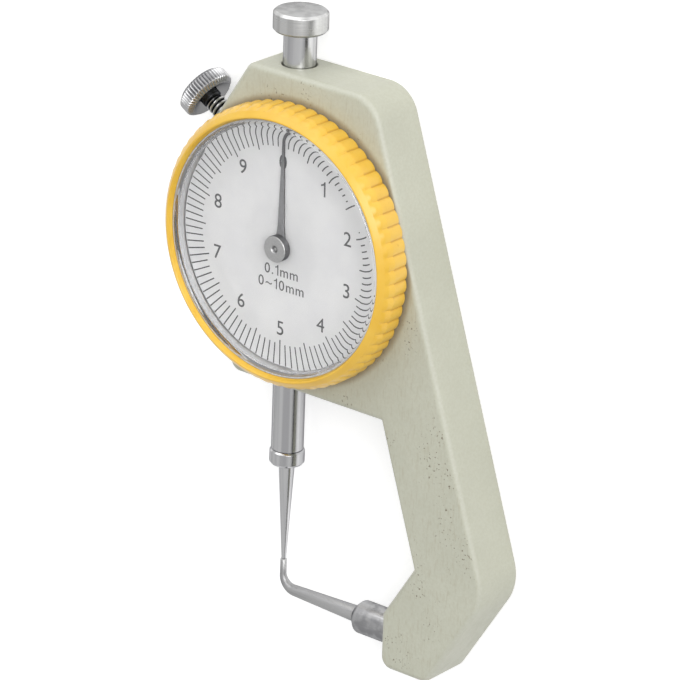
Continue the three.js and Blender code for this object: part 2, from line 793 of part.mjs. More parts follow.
// Spindle rod with the rack on its dial side
function rackCutter() {
  const rackTop = toothPitch * rackSpareTeethCount;
  const rackBottom = -travel - toothPitch * rackSpareTeethCount;
  const tip = spindleX + rackPitchReach + toothAddendum;
  const root = spindleX + rackPitchReach - toothDedendum;
  const clear = spindleX + rodRadius + cutOverrun;
  const wide = (toothPitch - 2 * toothHalf(toothAddendum)) / 2;
  const narrow = (toothPitch - 2 * toothHalf(-toothDedendum)) / 2;
  const outline = [[clear, rackTop], [tip, rackTop]];
  const pitches = evenly(Math.round((rackTop - rackBottom) / toothPitch));
  pitches.slice(1).forEach((pitch) => {
    const middle = rackTop - toothPitch * pitch;
    outline.push([tip, middle + wide], [root, middle + narrow]);
    outline.push([root, middle - narrow], [tip, middle - wide]);
  });
  outline.push([tip, rackBottom], [clear, rackBottom]);
  const reach = rodRadius + cutOverrun;
  return plate(outline.reverse(), spindleHeight - reach, spindleHeight + reach);
}

function spindleGeometry() {
  const boreRadius = probeStudRadius + runningGap;
  const boreTop = rodBottom + probeStudLength + seatGap;
  const profile = [
    [0, boreTop],
    [boreRadius, boreTop],
    [boreRadius, rodBottom],
    [rodRadius - rodEndChamfer, rodBottom],
    [rodRadius, rodBottom + rodEndChamfer],
    [rodRadius, rodTop - rodEndChamfer],
    [rodRadius - rodEndChamfer, rodTop],
    [buttonStudRadius, rodTop],
    [buttonStudRadius, rodTop + buttonStudLength],
    [0, rodTop + buttonStudLength],
  ];
  const rod = turnedAlongY(profile, mediumSegments).translate(spindleX, 0, spindleHeight);
  const holeBottom = guidePinBottom - runningGap;
  const holeRadius = guidePinRadius + bushBoreGap;
  const pinHole = drum(holeRadius, holeBottom, bridgeBottom, smallSegments, spindleX, guideRise);
  return cut(rod, rackCutter(), pinHole);
}

function buttonGeometry() {
  const top = rodTop + buttonHeight;
  const bore = buttonStudRadius + runningGap;
  const boreTop = rodTop + buttonStudLength + runningGap;
  const profile = [
    [0, boreTop],
    [bore, boreTop],
    [bore, rodTop],
    [buttonRadius - buttonChamfer, rodTop],
    [buttonRadius, rodTop + buttonChamfer],
    [buttonRadius, top - buttonChamfer],
    [buttonRadius - buttonChamfer, top],
    [0, top],
  ];
  return turnedAlongY(profile, mediumSegments).translate(spindleX, 0, spindleHeight);
}

function probeGeometry() {
  const coneTop = rodBottom - collarHeight;
  const profile = [
    [0, probeTip],
    [probeTipRadius, probeTip],
    [probeRootRadius, coneTop],
    [collarRadius - collarChamfer, coneTop],
    [collarRadius, coneTop + collarChamfer],
    [collarRadius, rodBottom - collarChamfer],
    [collarRadius - collarChamfer, rodBottom],
    [probeStudRadius, rodBottom],
    [probeStudRadius, rodBottom + probeStudLength],
    [0, rodBottom + probeStudLength],
  ];
  return turnedAlongY(profile, smallSegments).translate(spindleX, 0, spindleHeight);
}

function bushGeometry(from, to) {
  const ring = [[bushBore, from], [bushRadius, from], [bushRadius, to], [bushBore, to]];
  return turnedAlongY(closedRing(ring), mediumSegments).translate(spindleX, 0, spindleHeight);
}

// Dial group
function bezelGeometry() {
  const blankRadius = bezelRadius + fluteDepth;
  const sideTop = bezelRear + bezelSideHeight;
  const edgeRadius = bezelRadius - bezelEdgeInset;
  const edgeHeight = bezelFront - bezelEdgeDrop;
  const coneSlope = (edgeHeight - sideTop) / bezelEdgeInset;
  const grooveHalf = ringHeight / 2 + runningGap;
  const grooveInner = skirtRadius - ringGrooveDepth;
  const profile = [
    [skirtInner, skirtBottom],
    [skirtRadius, skirtBottom],
    [skirtRadius, ringMiddle - grooveHalf],
    [grooveInner, ringMiddle - grooveHalf],
    [grooveInner, ringMiddle + grooveHalf],
    [skirtRadius, ringMiddle + grooveHalf],
    [skirtRadius, bezelRear],
    [blankRadius, bezelRear],
    [blankRadius, sideTop - coneSlope * fluteDepth],
    [edgeRadius, edgeHeight],
    [bezelRadius - bezelRimWidth, bezelFront],
    [bezelBore, bezelFront - bezelLipDrop],
    [bezelBore, dialBottom],
    [skirtInner, dialBottom],
  ];
  const fluted = evenly(flutesCount * lobeSteps).map((step) => {
    const crest = Math.sin(((step % lobeSteps) * Math.PI) / lobeSteps);
    return pointAt(bezelRadius - fluteDepth * (1 - crest), (step * 360) / (flutesCount * lobeSteps));
  });
  const blank = turnedAlongZ(closedRing(profile), largeSegments);
  return overlap(blank, plate(fluted, skirtBottom - cutOverrun, bezelFront + cutOverrun));
}

function snapRingGeometry() {
  const inner = skirtRadius - ringGrooveDepth + runningGap;
  const outer = counterboreRadius + ringGrooveDepth - runningGap;
  const start = ringOpeningAngle / 2;
  const sweep = 360 - ringOpeningAngle;
  const angles = evenly(largeSegments + 1).map((step) => start + (sweep * step) / largeSegments);
  const outline = [
    ...angles.map((angle) => pointAt(outer, angle)),
    ...angles.reverse().map((angle) => pointAt(inner, angle)),
  ];
  return plate(outline, ringMiddle - ringHeight / 2, ringMiddle + ringHeight / 2);
}

function dialGeometry() {
  return pipeAlongZ(dialHoleRadius, dialRadius, dialBottom, dialTop, largeSegments);
}

function crystalGeometry() {
  const inner = crystalRadius - crystalWall;
  const ceiling = crystalTop - crystalThickness;
  const bevel = quarterTurn.map(([c, s]) => [
    crystalRadius - crystalBevelWidth * (1 - c),
    crystalTop - crystalBevelHeight * (1 - s),
  ]);
  const fillet = quarterTurn.map(([c, s]) => [
    inner - crystalFillet * (1 - s),
    ceiling - crystalFillet * (1 - c),
  ]);
  return turnedAlongZ([
    [0, ceiling],
    ...fillet,
    [inner, dialTop],
    [inner + crystalLipWidth, dialTop],
    [crystalRadius, dialTop + crystalWall - crystalLipWidth],
    ...bevel,
    [0, crystalTop],
  ], largeSegments);
}

// Pointer: a turned hub and a tapered needle with an eye round the hub's stem
function hubGeometry() {
  const stemBack = hubBack - hubStemLength;
  const bore = arborTipRadius + bushBoreGap;
  return turnedAlongZ([
    [0, arborTop + runningGap],
    [bore, arborTop + runningGap],
    [bore, stemBack],
    [hubStemRadius, stemBack],
    [hubStemRadius, hubBack],
    [hubRadius - hubChamfer, hubBack],
    [hubRadius, hubBack + hubChamfer],
    [hubRadius, hubFront - hubChamfer],
    [hubRadius - hubChamfer, hubFront],
    [dimpleRadius, hubFront],
    [0, hubFront - dimpleDepth],
  ], mediumSegments);
}

function needleGeometry() {
  const eyeInner = hubStemRadius + bushBoreGap;
  const eyeOuter = eyeInner + needleEyeWall;
  const blade = [
    [-needleFlareWidth / 2, 0],
    [needleFlareWidth / 2, 0],
    [needleFlareWidth / 2, eyeOuter],
    [needleWaistWidth / 2, eyeOuter + needleFlareLength],
    [needleTipWidth / 2, needleReach],
    [-needleTipWidth / 2, needleReach],
    [-needleWaistWidth / 2, eyeOuter + needleFlareLength],
    [-needleFlareWidth / 2, eyeOuter],
  ];
  const bottom = hubBack - needleThickness;
  const whole = join(plate(blade, bottom, hubBack), drum(eyeOuter, bottom, hubBack, mediumSegments));
  return cut(whole, drum(eyeInner, 0, bezelFront, mediumSegments));
}

// Anvil: a bent tapered pin held in a short bar in the jaw
function anvilPinGeometry() {
  const bendX = spindleX + anvilBendRadius;
  const bendY = anvilCentre + anvilBendRadius;
  const bend = evenly(bendSteps + 1).map((step) => {
    const turn = (step * Math.PI) / (2 * bendSteps);
    return {
      x: bendX - anvilBendRadius * Math.cos(turn),
      y: bendY - anvilBendRadius * Math.sin(turn),
      heading: turn - Math.PI / 2,
      radius: anvilTipRadius + ((anvilArmRadius - anvilTipRadius) * step) / bendSteps,
    };
  });
  const stations = [
    { x: spindleX, y: anvilTip, heading: -Math.PI / 2, radius: anvilTipRadius },
    ...bend,
    { x: holderEnd, y: anvilCentre, heading: 0, radius: anvilRootRadius },
    { x: holderEnd + anvilPinSocket, y: anvilCentre, heading: 0, radius: anvilRootRadius },
  ];
  const sides = smallSegments;
  const rings = stations.map(({ x, y, heading, radius }) => evenly(sides).map((side) => {
    const around = (side * 2 * Math.PI) / sides;
    const across = radius * Math.cos(around);
    const lift = radius * Math.sin(around);
    return [x - across * Math.sin(heading), y + across * Math.cos(heading), spindleHeight + lift];
  }));
  return loft(rings);
}

function holderGeometry() {
  const bore = anvilRootRadius + runningGap;
  const boreEnd = holderEnd + anvilPinSocket + seatGap;
  const nose = quarterTurn.map(([c, s]) => [
    holderRadius - holderRound * (1 - s),
    holderEnd + holderRound * (1 - c),
  ]);
  const profile = [
    [0, boreEnd],
    [bore, boreEnd],
    [bore, holderEnd],
    ...nose,
    [holderRadius, jawFace + holderSocket],
    [0, jawFace + holderSocket],
  ];
  return turnedAlongX(profile, mediumSegments).translate(0, anvilCentre, spindleHeight);
}

function grubScrewGeometry() {
  const bottom = grubSink;
  const top = spindleHeight - holderRadius - seatGap;
  const x = jawFace + grubPlace;
  const body = drum(grubRadius, bottom, top, smallSegments, x, anvilCentre);
  return cut(body, slotCutter(grubRadius, bottom, screwSlotDepth, x, anvilCentre, grubSlotWidth));
}

// Lock screw: drawn along X, with its head outside the frame at negative X
function lockScrewGeometry() {
  const headInner = -lockThreadShown;
  const headOuter = headInner - lockHeadThickness;
  const knurl = evenly(2 * lockKnurlsCount).map((step) => {
    const radius = lockHeadRadius - (step % 2) * lockKnurlDepth;
    return pointAt(radius, (step * 360) / (2 * lockKnurlsCount));
  });
  const rim = plate(knurl, headOuter + lockHeadChamfer, headInner - lockHeadChamfer).rotateY(Math.PI / 2);
  const core = lockHeadRadius - lockKnurlDepth - lockHeadChamfer;
  const shaft = turnedAlongX([
    [0, headOuter],
    [core, headOuter],
    [core + lockHeadChamfer, headOuter + lockHeadChamfer],
    [core + lockHeadChamfer, headInner - lockHeadChamfer],
    [core, headInner],
    [lockThreadRadius, headInner - lockDishDepth],
    [lockThreadRadius, lockScrewEnd],
    [0, lockScrewEnd],
  ], mediumSegments);
  return join(rim, shaft);
}

function lockPadGeometry() {
  const reach = lockPadEnd + lockPadLength;
  const bar = onLockAxis(drumAlongX(lockThreadRadius, lockPadStart, reach, smallSegments));
  return cut(bar, block([lockPadFace, -reach, -cutOverrun], [reach, reach + cavityRadius, frameThickness]));
}

// Assembly
const caliper = new THREE.Group();

function add(name, geometry, color, roughness, metalness, parent = caliper) {
  const shown = weld(geometry);
  shown.computeVertexNormals();
  const material = new THREE.MeshStandardMaterial({ color, roughness, metalness, flatShading: true });
  const mesh = new THREE.Mesh(shown, material);
  mesh.name = name;
  parent.add(mesh);
}

const paint = [0xbfbdaa, 0.55, 0];
const steel = [0xb9babc, 0.28, 1];
const brass = [0xc09a55, 0.35, 1];
const springSteel = [0x8f9093, 0.35, 1];
const yellow = [0xecbc45, 0.4, 0];

add("frame", frameGeometry(), ...paint);
add("back_cover", coverGeometry(), ...paint);
coverScrewPlaces.forEach(([x, y], index) => {
  add(`cover_screw_${index + 1}`, coverScrewGeometry(x, y), ...steel);
});
add("upper_bush", bushGeometry(bushInner, frameTop - upperBushLip), ...brass);
add("lower_bush", bushGeometry(frameUnder + lowerBushLip, -bushInner), ...brass);

add("spindle", spindleGeometry(), ...steel);
add("lift_button", buttonGeometry(), ...steel);
add("contact_probe", probeGeometry(), ...steel);
add("guide_pin", guidePinGeometry(), ...steel);
add("spring_arm", armGeometry(), ...brass);
add("return_spring", returnSpringGeometry(), ...springSteel);
add("spring_post", postGeometry(), ...brass);

add("movement_bridge", bridgeGeometry(), ...brass);
lugPlaces.forEach(([x, y], index) => {
  add(`bridge_screw_${index + 1}`, bridgeScrewGeometry(x, y), ...steel);
});
add("rear_cock", cockGeometry(), ...brass);
pillarPlaces.forEach(([x, y], index) => {
  add(`cock_pillar_${index + 1}`, pillarGeometry(x, y), ...brass);
  add(`cock_screw_${index + 1}`, cockScrewGeometry(x, y), ...steel);
});

add("centre_arbor", arborGeometry(), ...steel);
add("rack_pinion", pinionGeometry(), ...brass);
add("hairspring_collet", colletGeometry(), ...brass);
add("hairspring", hairspringGeometry(), ...springSteel);
add("hairspring_stud", hairspringStudGeometry(), ...brass);
add("pointer_hub", hubGeometry(), ...steel);
add("pointer_needle", needleGeometry(), 0x55565a, 0.45, 0.2);

add("bezel", bezelGeometry(), ...yellow);
add("bezel_snap_ring", snapRingGeometry(), ...springSteel);
add("dial", dialGeometry(), 0xdedede, 0.5, 0);
add("crystal", crystalGeometry(), 0xf2f4f4, 0.08, 0);

add("anvil_holder", holderGeometry(), ...steel);
add("anvil_pin", anvilPinGeometry(), ...steel);
add("anvil_grub_screw", grubScrewGeometry(), ...springSteel);

const lockGroup = new THREE.Group();
lockGroup.position.set(...lockMouth, spindleHeight);
lockGroup.rotation.z = lockFacing + Math.PI;
caliper.add(lockGroup);
add("lock_screw", lockScrewGeometry(), ...steel, lockGroup);
add("lock_pad", lockPadGeometry(), ...brass);

export default caliper;
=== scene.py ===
"""Looks of a dental thickness caliper with a 0 to 10 mm dial, lying on its back.

Sizes are millimetres until a mesh is made. The frame's axes: +X toward the jaw's arm,
+Y along the spindle to the lift button, +Z out of the dial, origin behind the dial centre.
"""

import json
import math

import bmesh
import bpy
from mathutils import Matrix, Vector


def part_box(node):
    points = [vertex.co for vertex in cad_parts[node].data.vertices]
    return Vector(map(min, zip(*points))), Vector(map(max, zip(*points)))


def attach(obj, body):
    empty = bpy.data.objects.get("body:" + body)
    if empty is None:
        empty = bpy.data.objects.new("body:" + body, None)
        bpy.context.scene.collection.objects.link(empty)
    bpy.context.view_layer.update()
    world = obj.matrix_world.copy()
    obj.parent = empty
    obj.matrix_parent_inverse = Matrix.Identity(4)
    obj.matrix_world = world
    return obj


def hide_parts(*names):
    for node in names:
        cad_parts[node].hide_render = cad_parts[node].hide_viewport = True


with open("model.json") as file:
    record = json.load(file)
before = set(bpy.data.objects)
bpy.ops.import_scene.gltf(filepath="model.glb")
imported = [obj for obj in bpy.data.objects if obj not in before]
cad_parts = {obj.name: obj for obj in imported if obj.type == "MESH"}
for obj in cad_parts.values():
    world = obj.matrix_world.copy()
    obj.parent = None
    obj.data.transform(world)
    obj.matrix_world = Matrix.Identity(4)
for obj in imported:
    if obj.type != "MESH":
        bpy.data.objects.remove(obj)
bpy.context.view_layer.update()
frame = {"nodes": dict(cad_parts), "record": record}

MM = 0.001
TURN = 2 * math.pi
X_AXIS = Matrix.Rotation(math.radians(90), 4, "Y")
Y_AXIS = Matrix.Rotation(math.radians(-90), 4, "X")
Z_AXIS = Matrix.Identity(4)
FINE = 192  # segments round a large piece
MEDIUM = 96
SMALL = 40


# What the frame gives: boxes in millimetres, and the reach of a piece round the dial's axis
def box(node):
    low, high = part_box(node)
    return low / MM, high / MM


def widest(node):
    return max(vertex.co.xy.length for vertex in frame["nodes"][node].data.vertices) / MM


frame_low, frame_high = box("frame")
bezel_low, bezel_high = box("bezel")
dial_low, dial_high = box("dial")
crystal_low, crystal_high = box("crystal")
hub_low, hub_high = box("pointer_hub")
needle_low, needle_high = box("pointer_needle")
rod_low, rod_high = box("spindle")
button_low, button_high = box("lift_button")
probe_low, probe_high = box("contact_probe")
holder_low, holder_high = box("anvil_holder")
_, pin_high = box("anvil_pin")
grub_low, grub_high = box("anvil_grub_screw")
_, cover_high = box("back_cover")
bridge_low, _ = box("movement_bridge")

bezel_radius = widest("bezel")
dial_radius = widest("dial")
crystal_radius = widest("crystal")
cover_radius = widest("back_cover")
bridge_radius = widest("movement_bridge")
rod_radius = (rod_high.x - rod_low.x) / 2
rod_x = (rod_high.x + rod_low.x) / 2
rod_z = (button_high.z + button_low.z) / 2
thickness = frame_high.z
anvil_y = (holder_high.y + holder_low.y) / 2
holder_radius = (holder_high.y - holder_low.y) / 2

# Gaps of the part, and how far its cutters pass a surface
RUNNING_GAP = 0.2
SEAT_GAP = 0.3
ROD_GAP = 0.18
OVERRUN = 1
CLEAR = 40

# Frame plate
CHAMFER_ANGLE = 32.5
CHAMFER_MARGIN = 0.1
RIGHT_ANGLE = 18.45
THROAT_ANGLE = 18.2
SLANT_ANGLE = 31.4
RIGHT_OVERHANG = 0.25
LEFT_INSET = 0.2
UNDER_MARGIN = 1.56
THROAT_INSET = 3.6
JAW_INSET = 2.15
JAW_WIDTH = 7.35
JAW_HEIGHT = 7.45
NOTCH_RUN = 4.3
NOTCH_RISE = 7
SHOULDER_ROUND = 4.6
ELBOW_ROUND = 6.5
CORNER_ROUND = 1.6
EDGE_ROUND = 0.8
SKIRT_SETBACK = 1.375
SKIRT_GAP = 0.25
SKIRT_DEPTH = 1.15
RING_DROP = 0.52
RING_GROOVE_HALF = 0.35
RING_GROOVE_DEPTH = 0.4
LUG_ANGLES = (45, 195, 300)
LUG_RADIUS = 2
COVER_SCREW_ANGLES = (75, 195, 315)
COVER_SCREW_INSET = 1.1
COVER_SCREW_CORE = 0.6
COVER_SCREW_DEPTH = 2.3
GRUB_PLACE = 3.2
GRUB_RADIUS = 1
LOCK_BOSS_HALF = 2.5
LOCK_BOSS_START = 2
MOUTH_DEPTH = 8
MOUTH_BREAK = 0.08
MOUTH_OVER = 0.2
UNDER_MOUTH_REACH = 4
UNDER_MOUTH_BREAK = 0.25
UNDER_MOUTH_FLARE = 0.45

# Bezel
BEZEL_RISE = 0.3
SIDE_HEIGHT = 2.6
EDGE_INSET = 0.64
EDGE_DROP = 0.74
RIM_WIDTH = 1.44
LIP_DROP = 0.8
BORE_WALL = 1.74
SKIRT_WALL = 1.2
FLUTES = 64
FLUTE_DEPTH = 0.27
FLUTE_CREST_POWER = 0.7
CONE_INSET_SHARE = 0.4
CONE_FLUTE_SHARE = 0.8
SHOULDER_DROP = 0.3

# Lock screw
LOCK_OFFSET = 2.2
LOCK_HEAD_RADIUS = 3.6
LOCK_HEAD_THICKNESS = 2.45
LOCK_DISH_DEPTH = 0.6
LOCK_THREAD_RADIUS = 1.35
LOCK_THREAD_SHOWN = 3.55
LOCK_KNURLS = 48
LOCK_KNURL_DEPTH = 0.26

cavity_radius = bridge_radius + SEAT_GAP
skirt_radius = bezel_radius - SKIRT_SETBACK
counterbore_radius = skirt_radius + SKIRT_GAP
counterbore_floor = thickness - SKIRT_DEPTH - RUNNING_GAP
jaw_face = bezel_radius - JAW_INSET
lock_facing = math.radians(180 - CHAMFER_ANGLE)
lock_out = Vector((math.cos(lock_facing), math.sin(lock_facing), 0))
lock_along = Vector((math.sin(lock_facing), -math.cos(lock_facing), 0))
chamfer_reach = bezel_radius + CHAMFER_MARGIN
lock_mouth = lock_out * chamfer_reach + lock_along * LOCK_OFFSET + Vector((0, 0, rod_z))
LOCK_AXIS = Matrix.Translation(lock_mouth) @ Matrix.Rotation(lock_facing + math.pi, 4, "Z") @ X_AXIS


# Meshes
def linked(name, data):
    """A new object of the scene with this data."""
    made = bpy.data.objects.new(name, data)
    bpy.context.scene.collection.objects.link(made)
    return made


def solid(name, points, faces, place=Z_AXIS):
    """A closed mesh object from points in millimetres."""
    mesh = bpy.data.meshes.new(name)
    mesh.from_pydata([(place @ Vector(point)) * MM for point in points], [], faces)
    editing = bmesh.new()
    editing.from_mesh(mesh)
    bmesh.ops.remove_doubles(editing, verts=editing.verts, dist=1e-8)
    bmesh.ops.recalc_face_normals(editing, faces=editing.faces)
    editing.to_mesh(mesh)
    editing.free()
    return linked(name, mesh)


def quarter_turn(steps):
    """Angles from nought to a right angle in even steps."""
    return [math.radians(90 * step / steps) for step in range(steps + 1)]


def eased(points):
    """Profile whose corners (x, y, round) are replaced by short curves; round may be left out."""
    result = []
    for index, point in enumerate(points):
        corner = Vector(point[:2])
        round_size = point[2] if len(point) > 2 else 0
        if round_size == 0 or index in (0, len(points) - 1):
            result.append(tuple(corner))
            continue
        before = Vector(points[index - 1][:2]) - corner
        after = Vector(points[index + 1][:2]) - corner
        half = before.angle(after) / 2
        reach = min(round_size / math.tan(half), 0.48 * before.length, 0.48 * after.length)
        start = corner + before.normalized() * reach
        end = corner + after.normalized() * reach
        steps = 5
        for step in range(steps + 1):
            share = step / steps
            spot = start * (1 - share) ** 2 + corner * 2 * share * (1 - share) + end * share ** 2
            result.append(tuple(spot))
    return result


def turned(name, profile, segments, place=Z_AXIS, closed=False):
    """Solid of revolution. The profile is a list of (radius, along), or a function of the angle."""
    profile_at = profile if callable(profile) else lambda angle: profile
    columns = [profile_at(TURN * step / segments) for step in range(segments)]
    rows = len(columns[0])
    points = []
    for step, column in enumerate(columns):
        angle = TURN * step / segments
        for radius, along in column:
            points.append((radius * math.cos(angle), radius * math.sin(angle), along))
    faces = []
    last = rows if closed else rows - 1
    for step in range(segments):
        here = step * rows
        beside = ((step + 1) % segments) * rows
        for row in range(last):
            up = (row + 1) % rows
            corners = [here + row, beside + row, beside + up, here + up]
            if columns[0][row][0] == 0:
                corners = [here + row, beside + up, here + up]
            elif columns[0][up][0] == 0:
                corners = [here + row, beside + row, here + up]
            faces.append(corners)
    return solid(name, points, faces, place)


def drum(radius, low, high, segments=SMALL, place=Z_AXIS):
    return turned("cutter", [(0, low), (radius, low), (radius, high), (0, high)], segments, place)


def block(low, high, place=Z_AXIS):
    corners = [(x, y, z) for x in (low[0], high[0]) for y in (low[1], high[1]) for z in (low[2], high[2])]
    faces = [(0, 1, 3, 2), (4, 6, 7, 5), (0, 4, 5, 1), (2, 3, 7, 6), (0, 2, 6, 4), (1, 5, 7, 3)]
    return solid("cutter", corners, faces, place)


def loft(name, rings, place=Z_AXIS):
    """Closed body through rings of points, each as long as the others, with flat ends."""
    sides = len(rings[0])
    points = [point for ring in rings for point in ring]
    faces = [list(range(sides)), [len(points) - 1 - side for side in range(sides)]]
    for ring in range(len(rings) - 1):
        for side in range(sides):
            here = ring * sides + side
            beside = ring * sides + (side + 1) % sides
            faces.append((here, beside, beside + sides, here + sides))
    return solid(name, points, faces, place)


def plate(outline, low, high, place=Z_AXIS):
    return loft("cutter", [[(x, y, z) for x, y in outline] for z in (low, high)], place)


def carve(target, tools, operation="DIFFERENCE"):
    for tool in tools:
        modifier = target.modifiers.new("carve", "BOOLEAN")
        modifier.operation = operation
        modifier.solver = "EXACT"
        modifier.object = tool
    graph = bpy.context.evaluated_depsgraph_get()
    carved = bpy.data.meshes.new_from_object(target.evaluated_get(graph))
    target.modifiers.clear()
    target.data = carved
    for tool in tools:
        bpy.data.objects.remove(tool)
    return target


def along_y(x, z):
    return Matrix.Translation((x, 0, z)) @ Y_AXIS


def at(x, y, z=0):
    return Matrix.Translation((x, y, z))


def on_circle(radius, degrees):
    return radius * math.cos(math.radians(degrees)), radius * math.sin(math.radians(degrees))


def dress(piece, look, body, slot, *nodes, sharp=32):
    """Gives a finished mesh its material, smooth shading and body, and hides the nodes it stands for. The
    slot is not used.
    """
    piece.data.materials.clear()
    piece.data.materials.append(look)
    piece.data.shade_smooth()
    piece.data.set_sharp_from_angle(angle=math.radians(sharp))
    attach(piece, body)
    if nodes:
        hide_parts(*nodes)
    return piece


# Materials
DIAL_AXIS = ((0, 0, 0), (0, 0, 1))
GRAZING_SHADE_TINT = (0.25, 0.25, 0.26, 1)  # painted shade: the steel's reflections darken toward grazing angles, darkening the edges of round parts


def srgb(red, green, blue):
    """Linear colour of an sRGB colour in steps of 0 to 255."""
    def linear(value):
        share = value / 255
        return share / 12.92 if share <= 0.04045 else ((share + 0.055) / 1.055) ** 2.4
    return linear(red), linear(green), linear(blue), 1


def grey(level, bluer=0):
    return srgb(level, level, level + bluer)


class Look:
    """A Principled material and the nodes that feed it."""

    def __init__(self, name, color, roughness, metallic=0, **sockets):
        self.material = bpy.data.materials.new(name)
        self.material.use_nodes = True
        self.tree = self.material.node_tree
        self.shader = self.tree.nodes["Principled BSDF"]
        self.shader.inputs["Base Color"].default_value = color
        self.shader.inputs["Roughness"].default_value = roughness
        self.shader.inputs["Metallic"].default_value = metallic
        for socket, value in sockets.items():
            title = socket.replace("_", " ").title().replace("Ior", "IOR")
            self.shader.inputs[title].default_value = value
        self.place = self.tree.nodes.new("ShaderNodeTexCoord").outputs["Object"]
        self.relief = None

    def node(self, kind, links, **values):
        made = self.tree.nodes.new(kind)
        for name, value in values.items():
            setattr(made, name, value)
        for socket, source in links.items():
            if isinstance(source, bpy.types.NodeSocket):
                self.tree.links.new(source, made.inputs[socket])
            else:
                made.inputs[socket].default_value = source
        return made

    def noise(self, size, stretch=(1, 1, 1), detail=2, roughness=0.5):
        """Noise whose grains are about size millimetres, times stretch along each axis."""
        scale = [1 / (MM * size * factor) for factor in stretch]
        mapped = self.node("ShaderNodeMapping", {"Vector": self.place, "Scale": scale})
        made = self.node("ShaderNodeTexNoise", {
            "Vector": mapped.outputs["Vector"], "Scale": 1, "Detail": detail, "Roughness": roughness,
        })
        return made.outputs["Fac"]

    def between(self, value, low, high, start=0, end=1):
        made = self.node("ShaderNodeMapRange", {
            "Value": value, "From Min": low, "From Max": high, "To Min": start, "To Max": end,
        }, interpolation_type="SMOOTHSTEP")
        return made.outputs["Result"]

    def vector_math(self, operation, source, value):
        return self.node("ShaderNodeVectorMath", {0: source, 1: tuple(value)}, operation=operation)

    def facing(self, low, high, start=0, end=1):
        """A value that grows as the surface turns to the dial's side, where its normal's z is 1."""
        made = self.tree.nodes.new("ShaderNodeTexCoord")
        split = self.node("ShaderNodeSeparateXYZ", {"Vector": made.outputs["Normal"]})
        return self.between(split.outputs["Z"], low, high, start, end)

    def end_face(self, direction):
        """1 on faces square to a direction, 0 on those round it."""
        made = self.tree.nodes.new("ShaderNodeTexCoord")
        share = self.vector_math("DOT_PRODUCT", made.outputs["Normal"], direction)
        size = self.node("ShaderNodeMath", {0: share.outputs["Value"]}, operation="ABSOLUTE")
        return self.between(size.outputs[0], 0.8, 0.95)

    def from_axis(self, place, direction):
        """Distance in metres of the surface from the axis through a place given in millimetres."""
        moved = self.vector_math("SUBTRACT", self.place, Vector(place) * MM)
        crossed = self.vector_math("CROSS_PRODUCT", moved.outputs[0], direction)
        length = self.node("ShaderNodeVectorMath", {0: crossed.outputs[0]}, operation="LENGTH")
        return length.outputs["Value"]

    def times(self, first, second):
        return self.node("ShaderNodeMath", {0: first, 1: second}, operation="MULTIPLY").outputs[0]

    def larger(self, first, second):
        return self.node("ShaderNodeMath", {0: first, 1: second}, operation="MAXIMUM").outputs[0]

    def mix(self, factor, first, second):
        made = self.node("ShaderNodeMix", {0: factor, 6: first, 7: second}, data_type="RGBA")
        return made.outputs[2]

    def color(self, source):
        self.tree.links.new(source, self.shader.inputs["Base Color"])

    def roughness(self, source):
        self.tree.links.new(source, self.shader.inputs["Roughness"])

    def bump(self, height, depth):
        """Adds relief of depth millimetres under what is already there."""
        links = {"Height": height, "Distance": depth * MM, "Strength": 1}
        if self.relief is not None:
            links["Normal"] = self.relief
        self.relief = self.node("ShaderNodeBump", links).outputs["Normal"]
        self.tree.links.new(self.relief, self.shader.inputs["Normal"])


def frame_paint():
    look = Look("frame_paint", srgb(194, 193, 178), 0.42)
    broad = look.between(look.noise(11, detail=3), 0.3, 0.7)
    body = look.mix(broad, srgb(196, 197, 181), srgb(190, 191, 175))
    # Painted highlight: the rounded edges of the front face are painted lighter.
    edge = look.times(look.facing(0.15, 0.6), look.facing(0.75, 0.98, 1, 0))
    body = look.mix(look.times(edge, 0.3), body, srgb(207, 208, 197))
    grain = look.between(look.noise(0.35, detail=3), 0.3, 0.7, 0, 0.22)
    body = look.mix(grain, body, srgb(172, 170, 148))
    front = look.facing(0.8, 0.97)
    streaks = look.between(look.noise(0.2, stretch=(1, 7, 1), detail=2), 0.5, 0.76, 0, 0.32)
    streaked = look.mix(look.times(front, streaks), body, srgb(166, 158, 134))
    patches = look.between(look.noise(5, detail=2), 0.5, 0.62)
    dots = look.between(look.noise(0.36, detail=1), 0.64, 0.71, 0, 0.8)
    spotted = look.mix(look.times(front, look.times(patches, dots)), streaked, srgb(104, 90, 72))
    # Painted shadow: the front face is browner and darker in a band just outside the bezel.
    away = look.from_axis(*DIAL_AXIS)
    bezel_shadow = look.between(away, bezel_radius * MM, (bezel_radius + 0.9) * MM, 0.6, 0)
    look.color(look.mix(look.times(front, bezel_shadow), spotted, srgb(138, 116, 76)))
    look.roughness(look.between(look.noise(1.2, detail=3), 0.3, 0.7, 0.38, 0.5))
    look.bump(look.noise(0.6, detail=3), 0.012)
    look.bump(look.noise(0.22, stretch=(1, 6, 1), detail=2), 0.006)
    return look.material


def bezel_lacquer():
    look = Look("bezel_lacquer", srgb(240, 194, 70), 0.36, coat_weight=0.3, coat_roughness=0.2)
    drift = look.between(look.noise(3.5, detail=3), 0.3, 0.7)
    body = look.mix(drift, srgb(237, 192, 72), srgb(232, 184, 60))
    marks = look.between(look.noise(0.5, detail=3), 0.66, 0.76, 0, 0.4)
    marked = look.mix(marks, body, srgb(206, 150, 40))
    away = look.from_axis(*DIAL_AXIS)
    # Painted shade: the flute valleys on the bezel's side are darker and browner.
    valley_shade = look.between(away, (bezel_radius - FLUTE_DEPTH) * MM, (bezel_radius - 0.12) * MM, 0.45, 0)
    shaded = look.times(look.facing(0.04, 0.2, 1, 0), valley_shade)
    look.color(look.mix(shaded, marked, srgb(176, 122, 34)))
    look.bump(look.noise(0.9, detail=3), 0.02)
    return look.material


